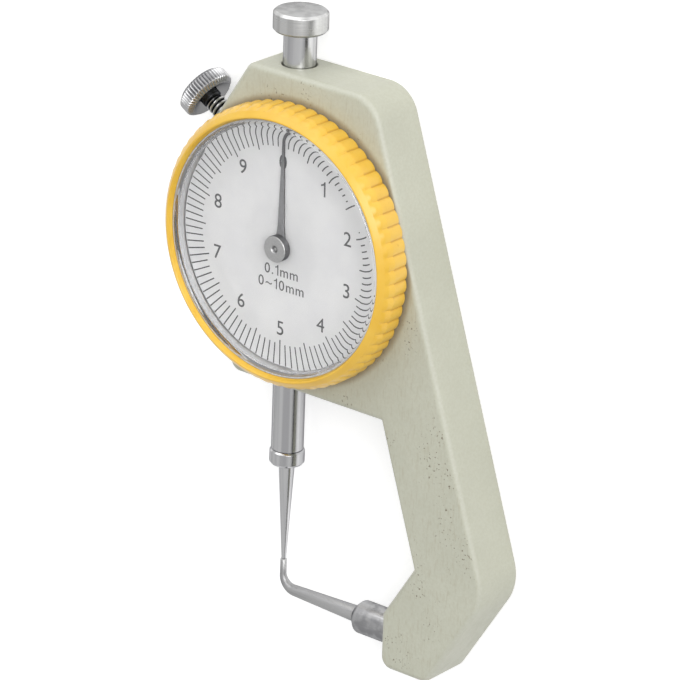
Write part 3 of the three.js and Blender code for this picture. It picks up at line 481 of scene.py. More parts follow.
def metal(name, color, darker, roughness, grain, grain_size=0.09, relief=0.004, bands=(1, 1, 1)):
    """Worked metal: fine marks drawn out by grain, and broad random tones drawn out by bands; drawn out
    along a round part, as on the rod and lift button, these tones are painted reflection streaks.
    """
    look = Look(name, color, roughness, 1, specular_tint=GRAZING_SHADE_TINT)
    marks = look.noise(grain_size, stretch=grain, detail=3)
    drift = look.noise(1.1, stretch=bands, detail=2)
    look.color(look.mix(look.between(drift, 0.35, 0.65), color, darker))
    look.roughness(look.between(marks, 0.3, 0.7, roughness * 0.75, roughness * 1.3))
    look.bump(marks, relief)
    return look.material


def dial_print(name, color):
    look = Look(name, color, 0.6)
    wear = look.between(look.noise(0.5, detail=2), 0.3, 0.7)
    darker = tuple(value * 0.8 for value in color[:3]) + (1,)
    look.color(look.mix(wear, color, darker))
    return look.material


def grooved_steel(name, floor, crest, groove_shade, top, face):
    """Steel on the lock axis, with painted shade in its grooves from radius floor up to crest; last three:
    grey levels of the groove shade, the crests and the end faces.
    """
    look = Look(name, grey(top), 0.28, 1, specular_tint=GRAZING_SHADE_TINT)
    rise = look.between(look.from_axis(lock_mouth, lock_out), floor * MM, crest * MM)
    shade = look.mix(rise, grey(groove_shade, 2), grey(top, 1))
    look.color(look.mix(look.end_face(lock_out), shade, grey(face, 2)))
    look.bump(look.noise(0.2, detail=2), 0.003)
    return look.material


def hub_metal():
    """Turned steel, bright on its front, with painted shade round its side and a painted dark ring in its
    centre dimple.
    """
    look = Look("hub_steel", grey(214), 0.42, 1, specular_tint=GRAZING_SHADE_TINT)
    rings = look.noise(0.2, detail=2)
    front = look.mix(look.between(rings, 0.3, 0.7), grey(210), grey(198))
    # Painted shade: the boss's side is dark grey.
    whole = look.mix(look.facing(0.1, 0.5), grey(114, 2), front)
    # Painted shade: a dark ring in the centre dimple.
    away = look.from_axis(*DIAL_AXIS)
    inside = look.between(away, 0.12 * MM, 0.26 * MM)
    outside = look.between(away, 0.38 * MM, 0.52 * MM, 1, 0)
    dimple = look.times(look.times(inside, outside), 0.85)
    look.color(look.mix(dimple, whole, grey(92, 2)))
    look.bump(rings, 0.003)
    return look.material


def needle_grey():
    """Grey paint with painted shade down the needle's sides, and darker toward its tip."""
    look = Look("needle_grey", grey(132, 2), 0.45)
    split = look.node("ShaderNodeSeparateXYZ", {"Vector": look.place})
    tip = look.between(split.outputs["Y"], 9 * MM, 14 * MM)
    front = look.mix(tip, grey(126, 2), grey(80, 2))
    # Painted shade: the needle's sides are darker than its front.
    look.color(look.mix(look.facing(0.5, 0.95), grey(70, 2), front))
    look.bump(look.noise(0.2, stretch=(1, 20, 1), detail=2), 0.002)
    return look.material


def dial_enamel():
    look = Look("dial_enamel", grey(224), 0.5)
    drift = look.between(look.noise(4, detail=3), 0.3, 0.7)
    look.color(look.mix(drift, grey(226), grey(221, 1)))
    look.bump(look.noise(0.15, detail=2), 0.002)
    return look.material


def crystal_clear():
    """Clear acrylic that lets the lamps reach the dial: shadow rays pass through it."""
    look = Look("crystal_clear", (1, 1, 1, 1), 0.0, ior=1.49, transmission_weight=1)
    made = look.tree.nodes.new("ShaderNodeTexCoord")
    split = look.node("ShaderNodeSeparateXYZ", {"Vector": made.outputs["Normal"]})
    upright = look.node("ShaderNodeMath", {0: split.outputs["Z"]}, operation="ABSOLUTE")
    look.roughness(look.between(upright.outputs[0], 0.05, 0.25, 0.4, 0))
    clear = look.node("ShaderNodeBsdfTransparent", {"Color": (0.97, 0.97, 0.97, 1)})
    path = look.node("ShaderNodeLightPath", {})
    either = look.node("ShaderNodeMixShader", {
        0: path.outputs["Is Shadow Ray"],
        1: look.shader.outputs["BSDF"],
        2: clear.outputs["BSDF"],
    })
    output = look.tree.nodes["Material Output"]
    look.tree.links.new(either.outputs["Shader"], output.inputs["Surface"])
    return look.material


# Grain directions: how much longer the marks are along each axis
ROUND_Y = (60, 1, 60)
ALONG_X = (60, 1, 1)
ALONG_Y = (1, 80, 1)
EVEN = (1, 1, 1)
paint = frame_paint()
lacquer = bezel_lacquer()
enamel = dial_enamel()
glass = crystal_clear()
ink = dial_print("dial_ink", grey(84, 2))
tick_ink = dial_print("tick_ink", grey(62, 2))
gasket_grey = dial_print("gasket_grey", srgb(205, 206, 208))
rod_steel = metal(
    "rod_steel", grey(220, 1), grey(192, 2), 0.2, ROUND_Y, relief=0.002, bands=ALONG_Y,
)
button_steel = metal(
    "button_steel", grey(220, -1), grey(202, -1), 0.34, ROUND_Y, bands=ALONG_Y,
)
holder_steel = metal(
    "holder_steel", grey(192, 1), grey(164, 2), 0.42, ALONG_X, 0.16, 0.01,
)
pin_steel = metal(
    "pin_steel", grey(202), grey(178, 1), 0.48, EVEN, 0.1, 0.01, bands=(12, 1, 1),
)
screw_steel = metal("screw_steel", grey(216, 1), grey(196, 2), 0.22, EVEN, 0.2)
# Painted shade: the lock screw's neck under its head is dark grey.
shaded_neck_steel = metal("shaded_neck_steel", srgb(88, 89, 92), srgb(70, 71, 74), 0.35, EVEN, 0.2)
dark_steel = metal("dark_steel", srgb(120, 121, 124), srgb(104, 105, 108), 0.35, EVEN, 0.2)
knob_steel = grooved_steel(
    "knob_steel", LOCK_HEAD_RADIUS - LOCK_KNURL_DEPTH, LOCK_HEAD_RADIUS - 0.05, 160, 208, 176,
)
thread_steel = grooved_steel(
    "thread_steel", LOCK_THREAD_RADIUS - 0.24, LOCK_THREAD_RADIUS - 0.02, 34, 236, 120,
)
hub_steel = hub_metal()
needle_steel = needle_grey()
brass = metal("movement_brass", srgb(205, 168, 96), srgb(190, 152, 82), 0.32, (1, 30, 1), 0.12)


# Frame
def edge_at(facing, reach, round_size=0):
    return math.radians(facing), reach, round_size


def edge_through(facing, x, y, round_size=0):
    angle = math.radians(facing)
    return angle, x * math.cos(angle) + y * math.sin(angle), round_size


def frame_outline(inset):
    """The plate's outline as straight edges with rounded corners, moved inward by inset."""
    under = -(bezel_radius + UNDER_MARGIN)
    notch_facing = 90 + math.degrees(math.atan2(NOTCH_RISE, NOTCH_RUN))
    jaw_shoulder = frame_low.y + JAW_HEIGHT
    edges = [
        edge_through(270, 0, frame_low.y, CORNER_ROUND),
        edge_through(-SLANT_ANGLE, jaw_face + JAW_WIDTH, frame_low.y, ELBOW_ROUND),
        edge_at(RIGHT_ANGLE, bezel_radius - RIGHT_OVERHANG, SHOULDER_ROUND),
        edge_at(90, frame_high.y, CORNER_ROUND),
        edge_at(180 - CHAMFER_ANGLE, chamfer_reach, CORNER_ROUND),
        edge_at(180, bezel_radius - LEFT_INSET, CORNER_ROUND),
        edge_at(180 + CHAMFER_ANGLE, chamfer_reach, CORNER_ROUND),
        edge_at(270, -under),
        edge_through(180 + THROAT_ANGLE, bezel_radius - THROAT_INSET, under),
        edge_through(notch_facing, jaw_face + NOTCH_RUN, jaw_shoulder + NOTCH_RISE),
        edge_through(180, jaw_face, 0, CORNER_ROUND),
    ]
    points = []
    for index, (facing, reach, round_size) in enumerate(edges):
        next_facing, next_reach, _ = edges[(index + 1) % len(edges)]
        turn = math.remainder(next_facing - facing, TURN)
        here, there = reach - inset, next_reach - inset
        corner = Vector((
            (here * math.sin(next_facing) - there * math.sin(facing)) / math.sin(turn),
            (there * math.cos(facing) - here * math.cos(next_facing)) / math.sin(turn),
        ))
        if round_size == 0:
            points.append(corner)
            continue
        radius = round_size - inset
        middle = facing + turn / 2
        centre = corner - Vector((math.cos(middle), math.sin(middle))) * radius / math.cos(turn / 2)
        steps = 14
        for step in range(steps + 1):
            angle = facing + turn * step / steps
            points.append(centre + Vector((math.cos(angle), math.sin(angle))) * radius)
    return points


def frame_blank():
    layers = [(EDGE_ROUND * (1 - math.cos(a)), EDGE_ROUND * (1 - math.sin(a))) for a in quarter_turn(8)]
    rings = [[(*p, low) for p in frame_outline(inset)] for low, inset in layers]
    rings += [[(*p, thickness - low) for p in frame_outline(inset)] for low, inset in reversed(layers)]
    return loft("frame_body", rings)


lock_reach = (lock_mouth.x - rod_x) / lock_out.x


def lock_boss():
    """Block inside the frame that the lock screw's hole runs through, as far as the rod's passage."""
    boss = block(
        (-LOCK_BOSS_HALF, -LOCK_BOSS_HALF, LOCK_BOSS_START), (LOCK_BOSS_HALF, LOCK_BOSS_HALF, lock_reach),
        LOCK_AXIS,
    )
    rod_side = rod_x - rod_radius - SEAT_GAP
    return carve(boss, [block((rod_side, -CLEAR, -CLEAR), (CLEAR, CLEAR, CLEAR))])


def rod_passage():
    """Cutters for the rod's way through the frame, with its edges broken at both ends."""
    place = along_y(rod_x, rod_z)
    radius = rod_radius + ROD_GAP
    top = frame_high.y
    mouth_end = top + MOUTH_OVER
    mouth = [
        (0, top - MOUTH_DEPTH), (radius, top - MOUTH_DEPTH), (radius, top - MOUTH_BREAK),
        (radius + MOUTH_BREAK + MOUTH_OVER, mouth_end), (0, mouth_end),
    ]
    under_end = -bezel_radius - UNDER_MOUTH_REACH
    under_edge = -bezel_radius - UNDER_MARGIN + UNDER_MOUTH_BREAK
    under_mouth = [
        (0, under_end), (radius + UNDER_MOUTH_FLARE, under_end), (radius, under_edge),
        (radius, -MOUTH_DEPTH), (0, -MOUTH_DEPTH),
    ]
    return [
        drum(radius, -CLEAR, CLEAR, MEDIUM, place),
        turned("cutter", mouth, MEDIUM, place),
        turned("cutter", under_mouth, MEDIUM, place),
    ]


def frame_piece():
    body = frame_blank()
    groove_middle = thickness - RING_DROP
    carve(body, [
        drum(cavity_radius, cover_high.z, counterbore_floor + OVERRUN, FINE),
        drum(cover_radius + SEAT_GAP, -OVERRUN, cover_high.z, FINE),
        drum(counterbore_radius, counterbore_floor, thickness + OVERRUN, FINE),
        drum(
            counterbore_radius + RING_GROOVE_DEPTH, groove_middle - RING_GROOVE_HALF,
            groove_middle + RING_GROOVE_HALF, FINE,
        ),
    ])
    lugs = []
    for angle in LUG_ANGLES:
        place = at(*on_circle(cavity_radius - LUG_RADIUS + SEAT_GAP, angle))
        lugs.append(drum(LUG_RADIUS, cover_high.z, bridge_low.z, SMALL, place))
    carve(body, [*lugs, lock_boss()], "UNION")
    anvil_place = at(0, anvil_y, rod_z) @ X_AXIS
    grub_place = at(jaw_face + GRUB_PLACE, anvil_y)
    holes = [
        *rod_passage(),
        drum(LOCK_THREAD_RADIUS + RUNNING_GAP, -OVERRUN, lock_reach + 2 * OVERRUN, SMALL, LOCK_AXIS),
        drum(holder_radius + RUNNING_GAP, jaw_face - OVERRUN, holder_high.x + SEAT_GAP, MEDIUM, anvil_place),
        drum(GRUB_RADIUS + RUNNING_GAP, -OVERRUN, rod_z, SMALL, grub_place),
    ]
    for angle in COVER_SCREW_ANGLES:
        place = at(*on_circle(cover_radius - COVER_SCREW_INSET, angle))
        holes.append(drum(COVER_SCREW_CORE, 0, COVER_SCREW_DEPTH, SMALL, place))
    carve(body, holes)
    dress(body, paint, "housing", "painted_frame", "frame", sharp=30)


frame_piece()


# Bezel
def bezel_piece():
    rear = thickness + BEZEL_RISE
    side_top = rear + SIDE_HEIGHT
    front = bezel_high.z
    edge_radius = bezel_radius - EDGE_INSET
    edge_height = front - EDGE_DROP
    cone_radius = bezel_radius - CONE_INSET_SHARE * EDGE_INSET
    bore = bezel_radius - BORE_WALL
    inner = skirt_radius - SKIRT_WALL
    groove_middle = thickness - RING_DROP

    def profile_at(angle):
        crest = abs(math.sin(angle * FLUTES / 2)) ** FLUTE_CREST_POWER
        depth = FLUTE_DEPTH * (1 - crest)
        side = bezel_radius - depth
        return eased([
            (inner, bezel_low.z),
            (skirt_radius, bezel_low.z, 0.1),
            (skirt_radius, groove_middle - RING_GROOVE_HALF),
            (skirt_radius - RING_GROOVE_DEPTH, groove_middle - RING_GROOVE_HALF),
            (skirt_radius - RING_GROOVE_DEPTH, groove_middle + RING_GROOVE_HALF),
            (skirt_radius, groove_middle + RING_GROOVE_HALF),
            (skirt_radius, rear),
            (side, rear, 0.12),
            (side, side_top - SHOULDER_DROP, SHOULDER_DROP),
            (cone_radius - CONE_FLUTE_SHARE * depth, (side_top + edge_height) / 2, 0.4),
            (edge_radius, edge_height, 0.3),
            (bezel_radius - RIM_WIDTH, front, 0.22),
            (bore, front - LIP_DROP, 0.1),
            (bore, dial_low.z),
            (inner, dial_low.z),
        ])

    ring = turned("bezel_ring", profile_at, FLUTES * 10, closed=True)
    dress(ring, lacquer, "bezel_body", "bezel_yellow", "bezel", sharp=40)


bezel_piece()


# Dial with its ticks, numbers and unit labels
DIAL_TURN = math.radians(0.9)  # the dial stands a little off the spindle's line
TICKS = 100
TICK_WIDTH = 0.16
TICK_OUTER = 15.8
LONG_TICK_INNER = 12.46
SHORT_TICK_INNER = 13.0
NUMBER_CIRCLE = 11.0
NUMBER_HEIGHT = 1.95
PRINT_RISE = 0.012
LABELS = (("0.1mm", -3.28, 1.4), ("0~10mm", -5.13, 1.4))
LABEL_SPACING = 0.22
BAR_FACES = ((3, 2, 1, 0), (4, 5, 6, 7), (0, 1, 5, 4), (1, 2, 6, 5), (2, 3, 7, 6), (3, 0, 4, 7))
NUMBER_LIFT = 0.2  # numbers stand a little above the middle of their places
FONT_FIGURE_HEIGHT = 0.73  # of the built-in font
PRINT_WEIGHT = 0.004  # added round each stroke of a figure of height 1


def dial_piece():
    hole, edge = 1.1, 0.05
    profile = eased([
        (hole, dial_low.z),
        (dial_radius, dial_low.z, edge),
        (dial_radius, dial_high.z, edge),
        (hole, dial_high.z, edge),
        (hole, dial_low.z),
    ])
    disc = turned("dial_plate", profile[:-1], FINE, closed=True)
    dress(disc, enamel, "bezel_body", "dial_white", "dial")


def dial_ticks():
    points = []
    faces = []
    for index in range(TICKS):
        turn = Matrix.Rotation(DIAL_TURN - TURN * index / TICKS, 3, "Z")
        inner = LONG_TICK_INNER if index % 5 == 0 else SHORT_TICK_INNER
        first = len(points)
        for z in (dial_high.z - PRINT_RISE, dial_high.z + PRINT_RISE):
            for x, y in ((-1, inner), (1, inner), (1, TICK_OUTER), (-1, TICK_OUTER)):
                points.append(turn @ Vector((x * TICK_WIDTH / 2, y, z)))
        for corners in BAR_FACES:
            faces.append([first + corner for corner in corners])
    dress(solid("dial_ticks", points, faces), tick_ink, "bezel_body", "dial_white")


def glyph(character):
    """One character of height 1 standing on y = 0 and starting at x = 0, and its width."""
    if character == "1":
        stem_share, flag_share = 0.125, 0.24
        width = flag_share + stem_share
        outline_shares = [
            (flag_share, 0), (width, 0), (width, 1), (flag_share + 0.02, 1),
            (flag_share - 0.05, 0.86), (0, 0.79), (0, 0.68), (flag_share, 0.76),
        ]
        return plate(outline_shares, -PRINT_RISE, PRINT_RISE), width
    curve = bpy.data.curves.new("glyph", "FONT")
    curve.body = character
    curve.size = MM / FONT_FIGURE_HEIGHT
    curve.offset = 0 if character == "4" else PRINT_WEIGHT * MM
    curve.extrude = PRINT_RISE * MM
    curve.resolution_u = 6
    letter = linked("glyph", curve)
    graph = bpy.context.evaluated_depsgraph_get()
    mesh = bpy.data.meshes.new_from_object(letter.evaluated_get(graph))
    bpy.data.objects.remove(letter)
    left = min(vertex.co.x for vertex in mesh.vertices)
    right = max(vertex.co.x for vertex in mesh.vertices)
    mesh.transform(Matrix.Translation((-left, 0, 0)))
    return linked("glyph", mesh), (right - left) / MM


def printed(name, text, x, y, height, spacing=0.13):
    """Thin raised print on the dial, centred at x, y."""
    letters = [glyph(character) for character in text]
    total = sum(width for _, width in letters) + spacing * (len(text) - 1)
    along = -total / 2
    whole = bmesh.new()
    for letter, width in letters:
        letter.data.transform(Matrix.Translation((along * MM, -0.5 * MM, 0)))
        whole.from_mesh(letter.data)
        bpy.data.objects.remove(letter)
        along += width + spacing
    mesh = bpy.data.meshes.new(name)
    whole.to_mesh(mesh)
    whole.free()
    place = Matrix.Rotation(DIAL_TURN, 4, "Z") @ at(x * MM, y * MM, dial_high.z * MM)
    mesh.transform(place @ Matrix.Diagonal((height, height, 1, 1)))
    dress(linked(name, mesh), ink, "bezel_body", "dial_white")


dial_piece()
dial_ticks()
for number in range(10):
    across, up = on_circle(NUMBER_CIRCLE, 90 - 36 * number)
    printed(f"dial_number_{number}", str(number), across, up + NUMBER_LIFT, NUMBER_HEIGHT)
for line, (text, up, height) in enumerate(LABELS):
    printed(f"dial_label_{line + 1}", text, 0, up, height, LABEL_SPACING)


# Crystal: a cup with a bevelled rim and a rounded inner corner
def crystal_piece():
    wall, roof, lip = 0.6, 1.3, 0.5
    bevel_width, bevel_height, fillet = 1.5, 0.8, 0.35
    inner = crystal_radius - wall
    top = crystal_high.z
    ceiling = top - roof
    quarter = [(math.cos(angle), math.sin(angle)) for angle in quarter_turn(12)]
    foot = crystal_low.z
    profile = [(0, ceiling)]
    profile += [(inner - fillet * (1 - s), ceiling - fillet * (1 - c)) for c, s in quarter]
    profile += [(inner, foot), (inner + lip, foot), (crystal_radius, foot + wall - lip)]
    profile += [(crystal_radius - bevel_width * (1 - c), top - bevel_height * (1 - s)) for c, s in quarter]
    profile += [(0, top)]
    cup = turned("crystal_cup", profile, FINE)
    dress(cup, glass, "bezel_body", "crystal_clear", "crystal", sharp=50)


def gasket_piece():
    outer_gap, inner_gap, below_lip, edge = 0.02, 0.04, 0.05, 0.04
    outer = bezel_radius - BORE_WALL - outer_gap
    inner = crystal_radius + inner_gap
    low, high = dial_high.z, bezel_high.z - LIP_DROP - below_lip
    profile = eased([(inner, low), (outer, low), (outer, high, edge), (inner, high, edge), (inner, low)])
    ring = turned("crystal_gasket", profile[:-1], FINE, closed=True)
    dress(ring, gasket_grey, "bezel_body", "dial_white")


crystal_piece()
gasket_piece()


# Pointer
def hub_piece():
    head_thickness, stem_radius, stem_edge = 1.1, 0.85, 0.05
    back_round, front_round = 0.12, 0.16
    bore, bore_depth = 0.55, 0.75
    dimple = ((0.55, 0, 0.06), (0.42, 0.12, 0.05), (0.3, 0.25, 0.1), (0, 0.2, 0))  # radius, depth, round
    radius = (hub_high.x - hub_low.x) / 2
    front = hub_high.z
    back = front - head_thickness
    profile = eased([
        (0, back + bore_depth),
        (bore, back + bore_depth),
        (bore, hub_low.z),
        (stem_radius, hub_low.z, stem_edge),
        (stem_radius, back),
        (radius, back, back_round),
        (radius, front, front_round),
        *((place, front - depth, round_size) for place, depth, round_size in dimple),
    ])
    dress(turned("pointer_boss", profile, MEDIUM), hub_steel, "pointer_body", "turned_steel", "pointer_hub")


def needle_piece():
    eye, hole, hole_drop = 1.35, 1.0, 0.02
    root_half, tip_half, root_share = 0.75, 0.1, 0.9
    flare = ((0.6, 0.7), (0.52, 1.5), (0.47, 2.6))  # half width, and how far past the eye
    edge, edge_share, face_share = 0.05, 0.95, 0.8
    low, high = needle_low.z, needle_high.z
    half = [(root_half, 0), (root_half, eye * root_share)]
    half += [(wide, eye + past) for wide, past in flare]
    half += [(tip_half, needle_high.y)]
    outline = half + [(-x, y) for x, y in reversed(half)]
    rings = [
        [(x * edge_share, y, low) for x, y in outline],
        [(x, y, low + edge) for x, y in outline],
        [(x, y, high - edge) for x, y in outline],
        [(x * face_share, y, high) for x, y in outline],
    ]
    blade = loft("pointer_blade", rings)
    carve(blade, [drum(eye, low, high - hole_drop, MEDIUM)], "UNION")
    carve(blade, [drum(hole, low - OVERRUN, high + OVERRUN, MEDIUM)])
    dress(blade, needle_steel, "pointer_body", "needle_grey", "pointer_needle", sharp=25)


hub_piece()
needle_piece()


# Spindle, lift button and probe
TRAVEL = 10
PITCH = TRAVEL / 16
RACK_SPARE = 3  # teeth past each end of the travel


def rack_cutter():
    pitch_depth, addendum, dedendum = 0.39, 0.18, 0.25
    wide, narrow = 0.27, 0.12
    length_half = 3
    top = PITCH * RACK_SPARE
    bottom = -TRAVEL - PITCH * RACK_SPARE
    pitch_x = rod_x + rod_radius - pitch_depth
    tip, root = pitch_x + addendum, pitch_x - dedendum
    clear = rod_x + rod_radius + OVERRUN
    outline = [(clear, top), (tip, top)]
    for tooth in range(1, round((top - bottom) / PITCH)):
        middle = top - PITCH * tooth
        outline += [(tip, middle + wide), (root, middle + narrow)]
        outline += [(root, middle - narrow), (tip, middle - wide)]
    outline += [(tip, bottom), (clear, bottom)]
    return plate(list(reversed(outline)), rod_z - length_half, rod_z + length_half)


def spindle_piece():
    bore, stem, edge = 1.3, 1.2, 0.25
    pin_hole, pin_height = 0.55, 2.6
    pin_hole_start, pin_hole_end = rod_z + 0.5, rod_z + 4
    bore_top = probe_high.y + SEAT_GAP
    bottom, top = rod_low.y, button_low.y
    profile = eased([
        (0, bore_top),
        (bore, bore_top),
        (bore, bottom),
        (rod_radius, bottom, edge),
        (rod_radius, top, edge),
        (stem, top),
        (stem, rod_high.y),
        (0, rod_high.y),
    ])
    rod = turned("spindle_rod", profile, MEDIUM, along_y(rod_x, rod_z))
    pin_cutter = drum(pin_hole, pin_hole_start, pin_hole_end, SMALL, at(rod_x, pin_height))
    carve(rod, [rack_cutter(), pin_cutter])
    dress(rod, rod_steel, "spindle_body", "ground_steel", "spindle")


def button_piece():
    bore, under_bevel, top_bevel, edge = 1.4, 0.3, 0.32, 0.08
    radius = (button_high.x - button_low.x) / 2
    bottom, top = button_low.y, button_high.y
    bore_top = rod_high.y + RUNNING_GAP
    profile = eased([
        (0, bore_top),
        (bore, bore_top),
        (bore, bottom),
        (radius - under_bevel, bottom, edge),
        (radius, bottom + under_bevel, edge),
        (radius, top - top_bevel, edge),
        (radius - top_bevel, top, edge),
        (0, top),
    ])
    button = turned("lift_cap", profile, MEDIUM, along_y(rod_x, rod_z))
    dress(button, button_steel, "spindle_body", "turned_steel", "lift_button")


def probe_piece():
    stud, collar_height = 1.1, 2
    tip, tip_round = 0.3, 0.08
    cone_root, cone_flare, flare_height = 1.03, 1.2, 0.35
    under_width, under_height, top_bevel, edge = 0.25, 0.3, 0.22, 0.08
    collar = (probe_high.x - probe_low.x) / 2
    collar_top = rod_low.y
    cone_top = collar_top - collar_height
    profile = eased([
        (0, probe_low.y),
        (tip, probe_low.y, tip_round),
        (cone_root, cone_top - flare_height, 0.3),
        (cone_flare, cone_top),
        (collar - under_width, cone_top, 0.06),
        (collar, cone_top + under_height, edge),
        (collar, collar_top - top_bevel, edge),
        (collar - top_bevel, collar_top, 0.06),
        (stud, collar_top),
        (stud, probe_high.y),
        (0, probe_high.y),
    ])
    probe = turned("contact_point", profile, MEDIUM, along_y(rod_x, rod_z))
    dress(probe, rod_steel, "spindle_body", "turned_steel", "contact_probe")


spindle_piece()
button_piece()
probe_piece()


# Anvil: a bent tapered pin in a short bar, and the grub screw behind it
ANVIL_BEND = 1.9
ANVIL_TIP = 0.43
ANVIL_ARM = 0.74
ANVIL_ROOT = 1.1
ANVIL_SOCKET = 4.5
UPWARD = Vector((0, 0, 1))


def anvil_ring(x, y, heading, radius):
    """Round section of the pin, square to its heading in degrees from +X."""
    turn = math.radians(heading)
    across = Vector((-math.sin(turn), math.cos(turn), 0))
    centre = Vector((x, y, rod_z))
    angles = [TURN * side / SMALL for side in range(SMALL)]
    return [centre + (across * math.cos(angle) + UPWARD * math.sin(angle)) * radius for angle in angles]


def anvil_pin_piece():
    tip_bevel = 0.07
    rings = [
        anvil_ring(rod_x, pin_high.y, -90, ANVIL_TIP - tip_bevel),
        anvil_ring(rod_x, pin_high.y - tip_bevel, -90, ANVIL_TIP),
    ]
    steps = 24
    for step, turn in enumerate(quarter_turn(steps)):
        x = rod_x + ANVIL_BEND * (1 - math.cos(turn))
        y = anvil_y + ANVIL_BEND * (1 - math.sin(turn))
        radius = ANVIL_TIP + (ANVIL_ARM - ANVIL_TIP) * step / steps
        rings.append(anvil_ring(x, y, math.degrees(turn) - 90, radius))
    rings.append(anvil_ring(holder_low.x, anvil_y, 0, ANVIL_ROOT))
    rings.append(anvil_ring(holder_low.x + ANVIL_SOCKET, anvil_y, 0, ANVIL_ROOT))
    dress(loft("anvil_point", rings), pin_steel, "housing", "ground_steel", "anvil_pin", sharp=50)


def anvil_bar_piece():
    nose, face_round, nose_round = 0.8, 0.3, 0.5
    bore = ANVIL_ROOT + RUNNING_GAP
    bore_end = holder_low.x + ANVIL_SOCKET + SEAT_GAP
    profile = eased([
        (0, bore_end),
        (bore, bore_end),
        (bore, holder_low.x),
        (holder_radius - nose, holder_low.x, face_round),
        (holder_radius, holder_low.x + nose, nose_round),
        (holder_radius, holder_high.x),
        (0, holder_high.x),
    ])
    bar = turned("anvil_bar", profile, MEDIUM, at(0, anvil_y, rod_z) @ X_AXIS)
    dress(bar, holder_steel, "housing", "turned_steel", "anvil_holder")


def grub_screw_piece():
    edge, slot_half, slot_depth = 0.15, 0.18, 0.35
    x = jaw_face + GRUB_PLACE
    low, high = grub_low.z, grub_high.z
    profile = eased([(0, low), (GRUB_RADIUS, low, edge), (GRUB_RADIUS, high), (0, high)])
    grub = turned("anvil_fixing_screw", profile, SMALL, at(x, anvil_y))
    slot_low = (x - 2 * GRUB_RADIUS, anvil_y - slot_half, -OVERRUN)
    slot_high = (x + 2 * GRUB_RADIUS, anvil_y + slot_half, low + slot_depth)
    carve(grub, [block(slot_low, slot_high)])
    dress(grub, dark_steel, "housing", "turned_steel", "anvil_grub_screw")


anvil_pin_piece()
anvil_bar_piece()
grub_screw_piece()


# Lock screw: a knurled head, an undercut neck and a helical thread
LOCK_PITCH = 0.6
LOCK_THREAD_DEPTH = 0.3
LOCK_NECK = 0.45
LOCK_NECK_RADIUS = 0.9
LOCK_HOLLOW = 0.12
LOCK_BEVEL_DROP = 0.4
lock_face = -LOCK_THREAD_SHOWN
lock_back = lock_face - LOCK_HEAD_THICKNESS
lock_core = LOCK_HEAD_RADIUS - LOCK_KNURL_DEPTH - LOCK_BEVEL_DROP
thread_start = lock_face + LOCK_NECK


def lock_head_profile(angle):
    """Section of the head: hollow outer face, bevels, the knurl's depth at this angle, dished inner face."""
    rim = LOCK_HEAD_RADIUS - LOCK_KNURL_DEPTH * (0.5 - 0.5 * math.cos(angle * LOCK_KNURLS))
    shoulder = rim - 0.06
    bevel_end, knurl_end, edge = 0.48, 0.58, 0.03
    return [
        (0, lock_back + LOCK_HOLLOW), (1.2, lock_back + LOCK_HOLLOW), (1.4, lock_back),
        (lock_core - 0.1, lock_back), (lock_core, lock_back + edge),
        (shoulder, lock_back + bevel_end), (rim, lock_back + knurl_end),
        (rim, lock_face - knurl_end), (shoulder, lock_face - bevel_end),
        (lock_core, lock_face - edge), (lock_core - 0.1, lock_face), (lock_core - 0.25, lock_face - edge),
        (LOCK_THREAD_RADIUS + LOCK_HOLLOW, lock_face - LOCK_DISH_DEPTH), (0, lock_face - LOCK_DISH_DEPTH),
    ]


def lock_thread_profile(angle):
    """Section of the thread, whose crests move along the axis as the angle grows."""
    lead, start_fade, end_fade, end_share = 0.05, 0.2, 0.3, 0.3
    length = lock_end - thread_start
    steps = round(length / LOCK_PITCH * 8)
    rows = [
        (0, thread_start - lead),
        (LOCK_NECK_RADIUS, thread_start - lead),
        (LOCK_NECK_RADIUS + 0.02, thread_start),
    ]
    for step in range(1, steps + 1):
        along = thread_start + length * step / steps
        phase = (along / LOCK_PITCH - angle / TURN) % 1
        crest = 1 - abs(2 * phase - 1)
        fade = min(1, (along - thread_start) / start_fade, (lock_end - along) / end_fade + end_share)
        rows.append((LOCK_THREAD_RADIUS - LOCK_THREAD_DEPTH * (1 - crest * fade), along))
    rows.append((0, lock_end))
    return rows


def node_reach(node):
    """How far a node reaches along the lock axis from its mouth."""
    places = [vertex.co / MM for vertex in frame["nodes"][node].data.vertices]
    return max(-(place - lock_mouth).dot(lock_out) for place in places)


def lock_screw_pieces():
    head = turned("lock_knob", lock_head_profile, LOCK_KNURLS * 8, LOCK_AXIS)
    dress(head, knob_steel, "lock_screw_body", "turned_steel", "lock_screw", sharp=35)
    sunk, slack, run_out, edge = 0.2, 0.04, 0.25, 0.1
    start = lock_face - LOCK_DISH_DEPTH - sunk
    radius = LOCK_THREAD_RADIUS - slack
    shank = eased([
        (0, start), (radius, start), (radius, thread_start - run_out, edge),
        (LOCK_NECK_RADIUS, thread_start, edge), (0, thread_start),
    ])
    neck = turned("lock_neck", shank, MEDIUM, LOCK_AXIS)
    dress(neck, shaded_neck_steel, "lock_screw_body", "turned_steel", sharp=50)
    thread = turned("lock_thread", lock_thread_profile, MEDIUM, LOCK_AXIS)
    dress(thread, thread_steel, "lock_screw_body", "turned_steel", sharp=60)


lock_end = node_reach("lock_screw")
lock_screw_pieces()


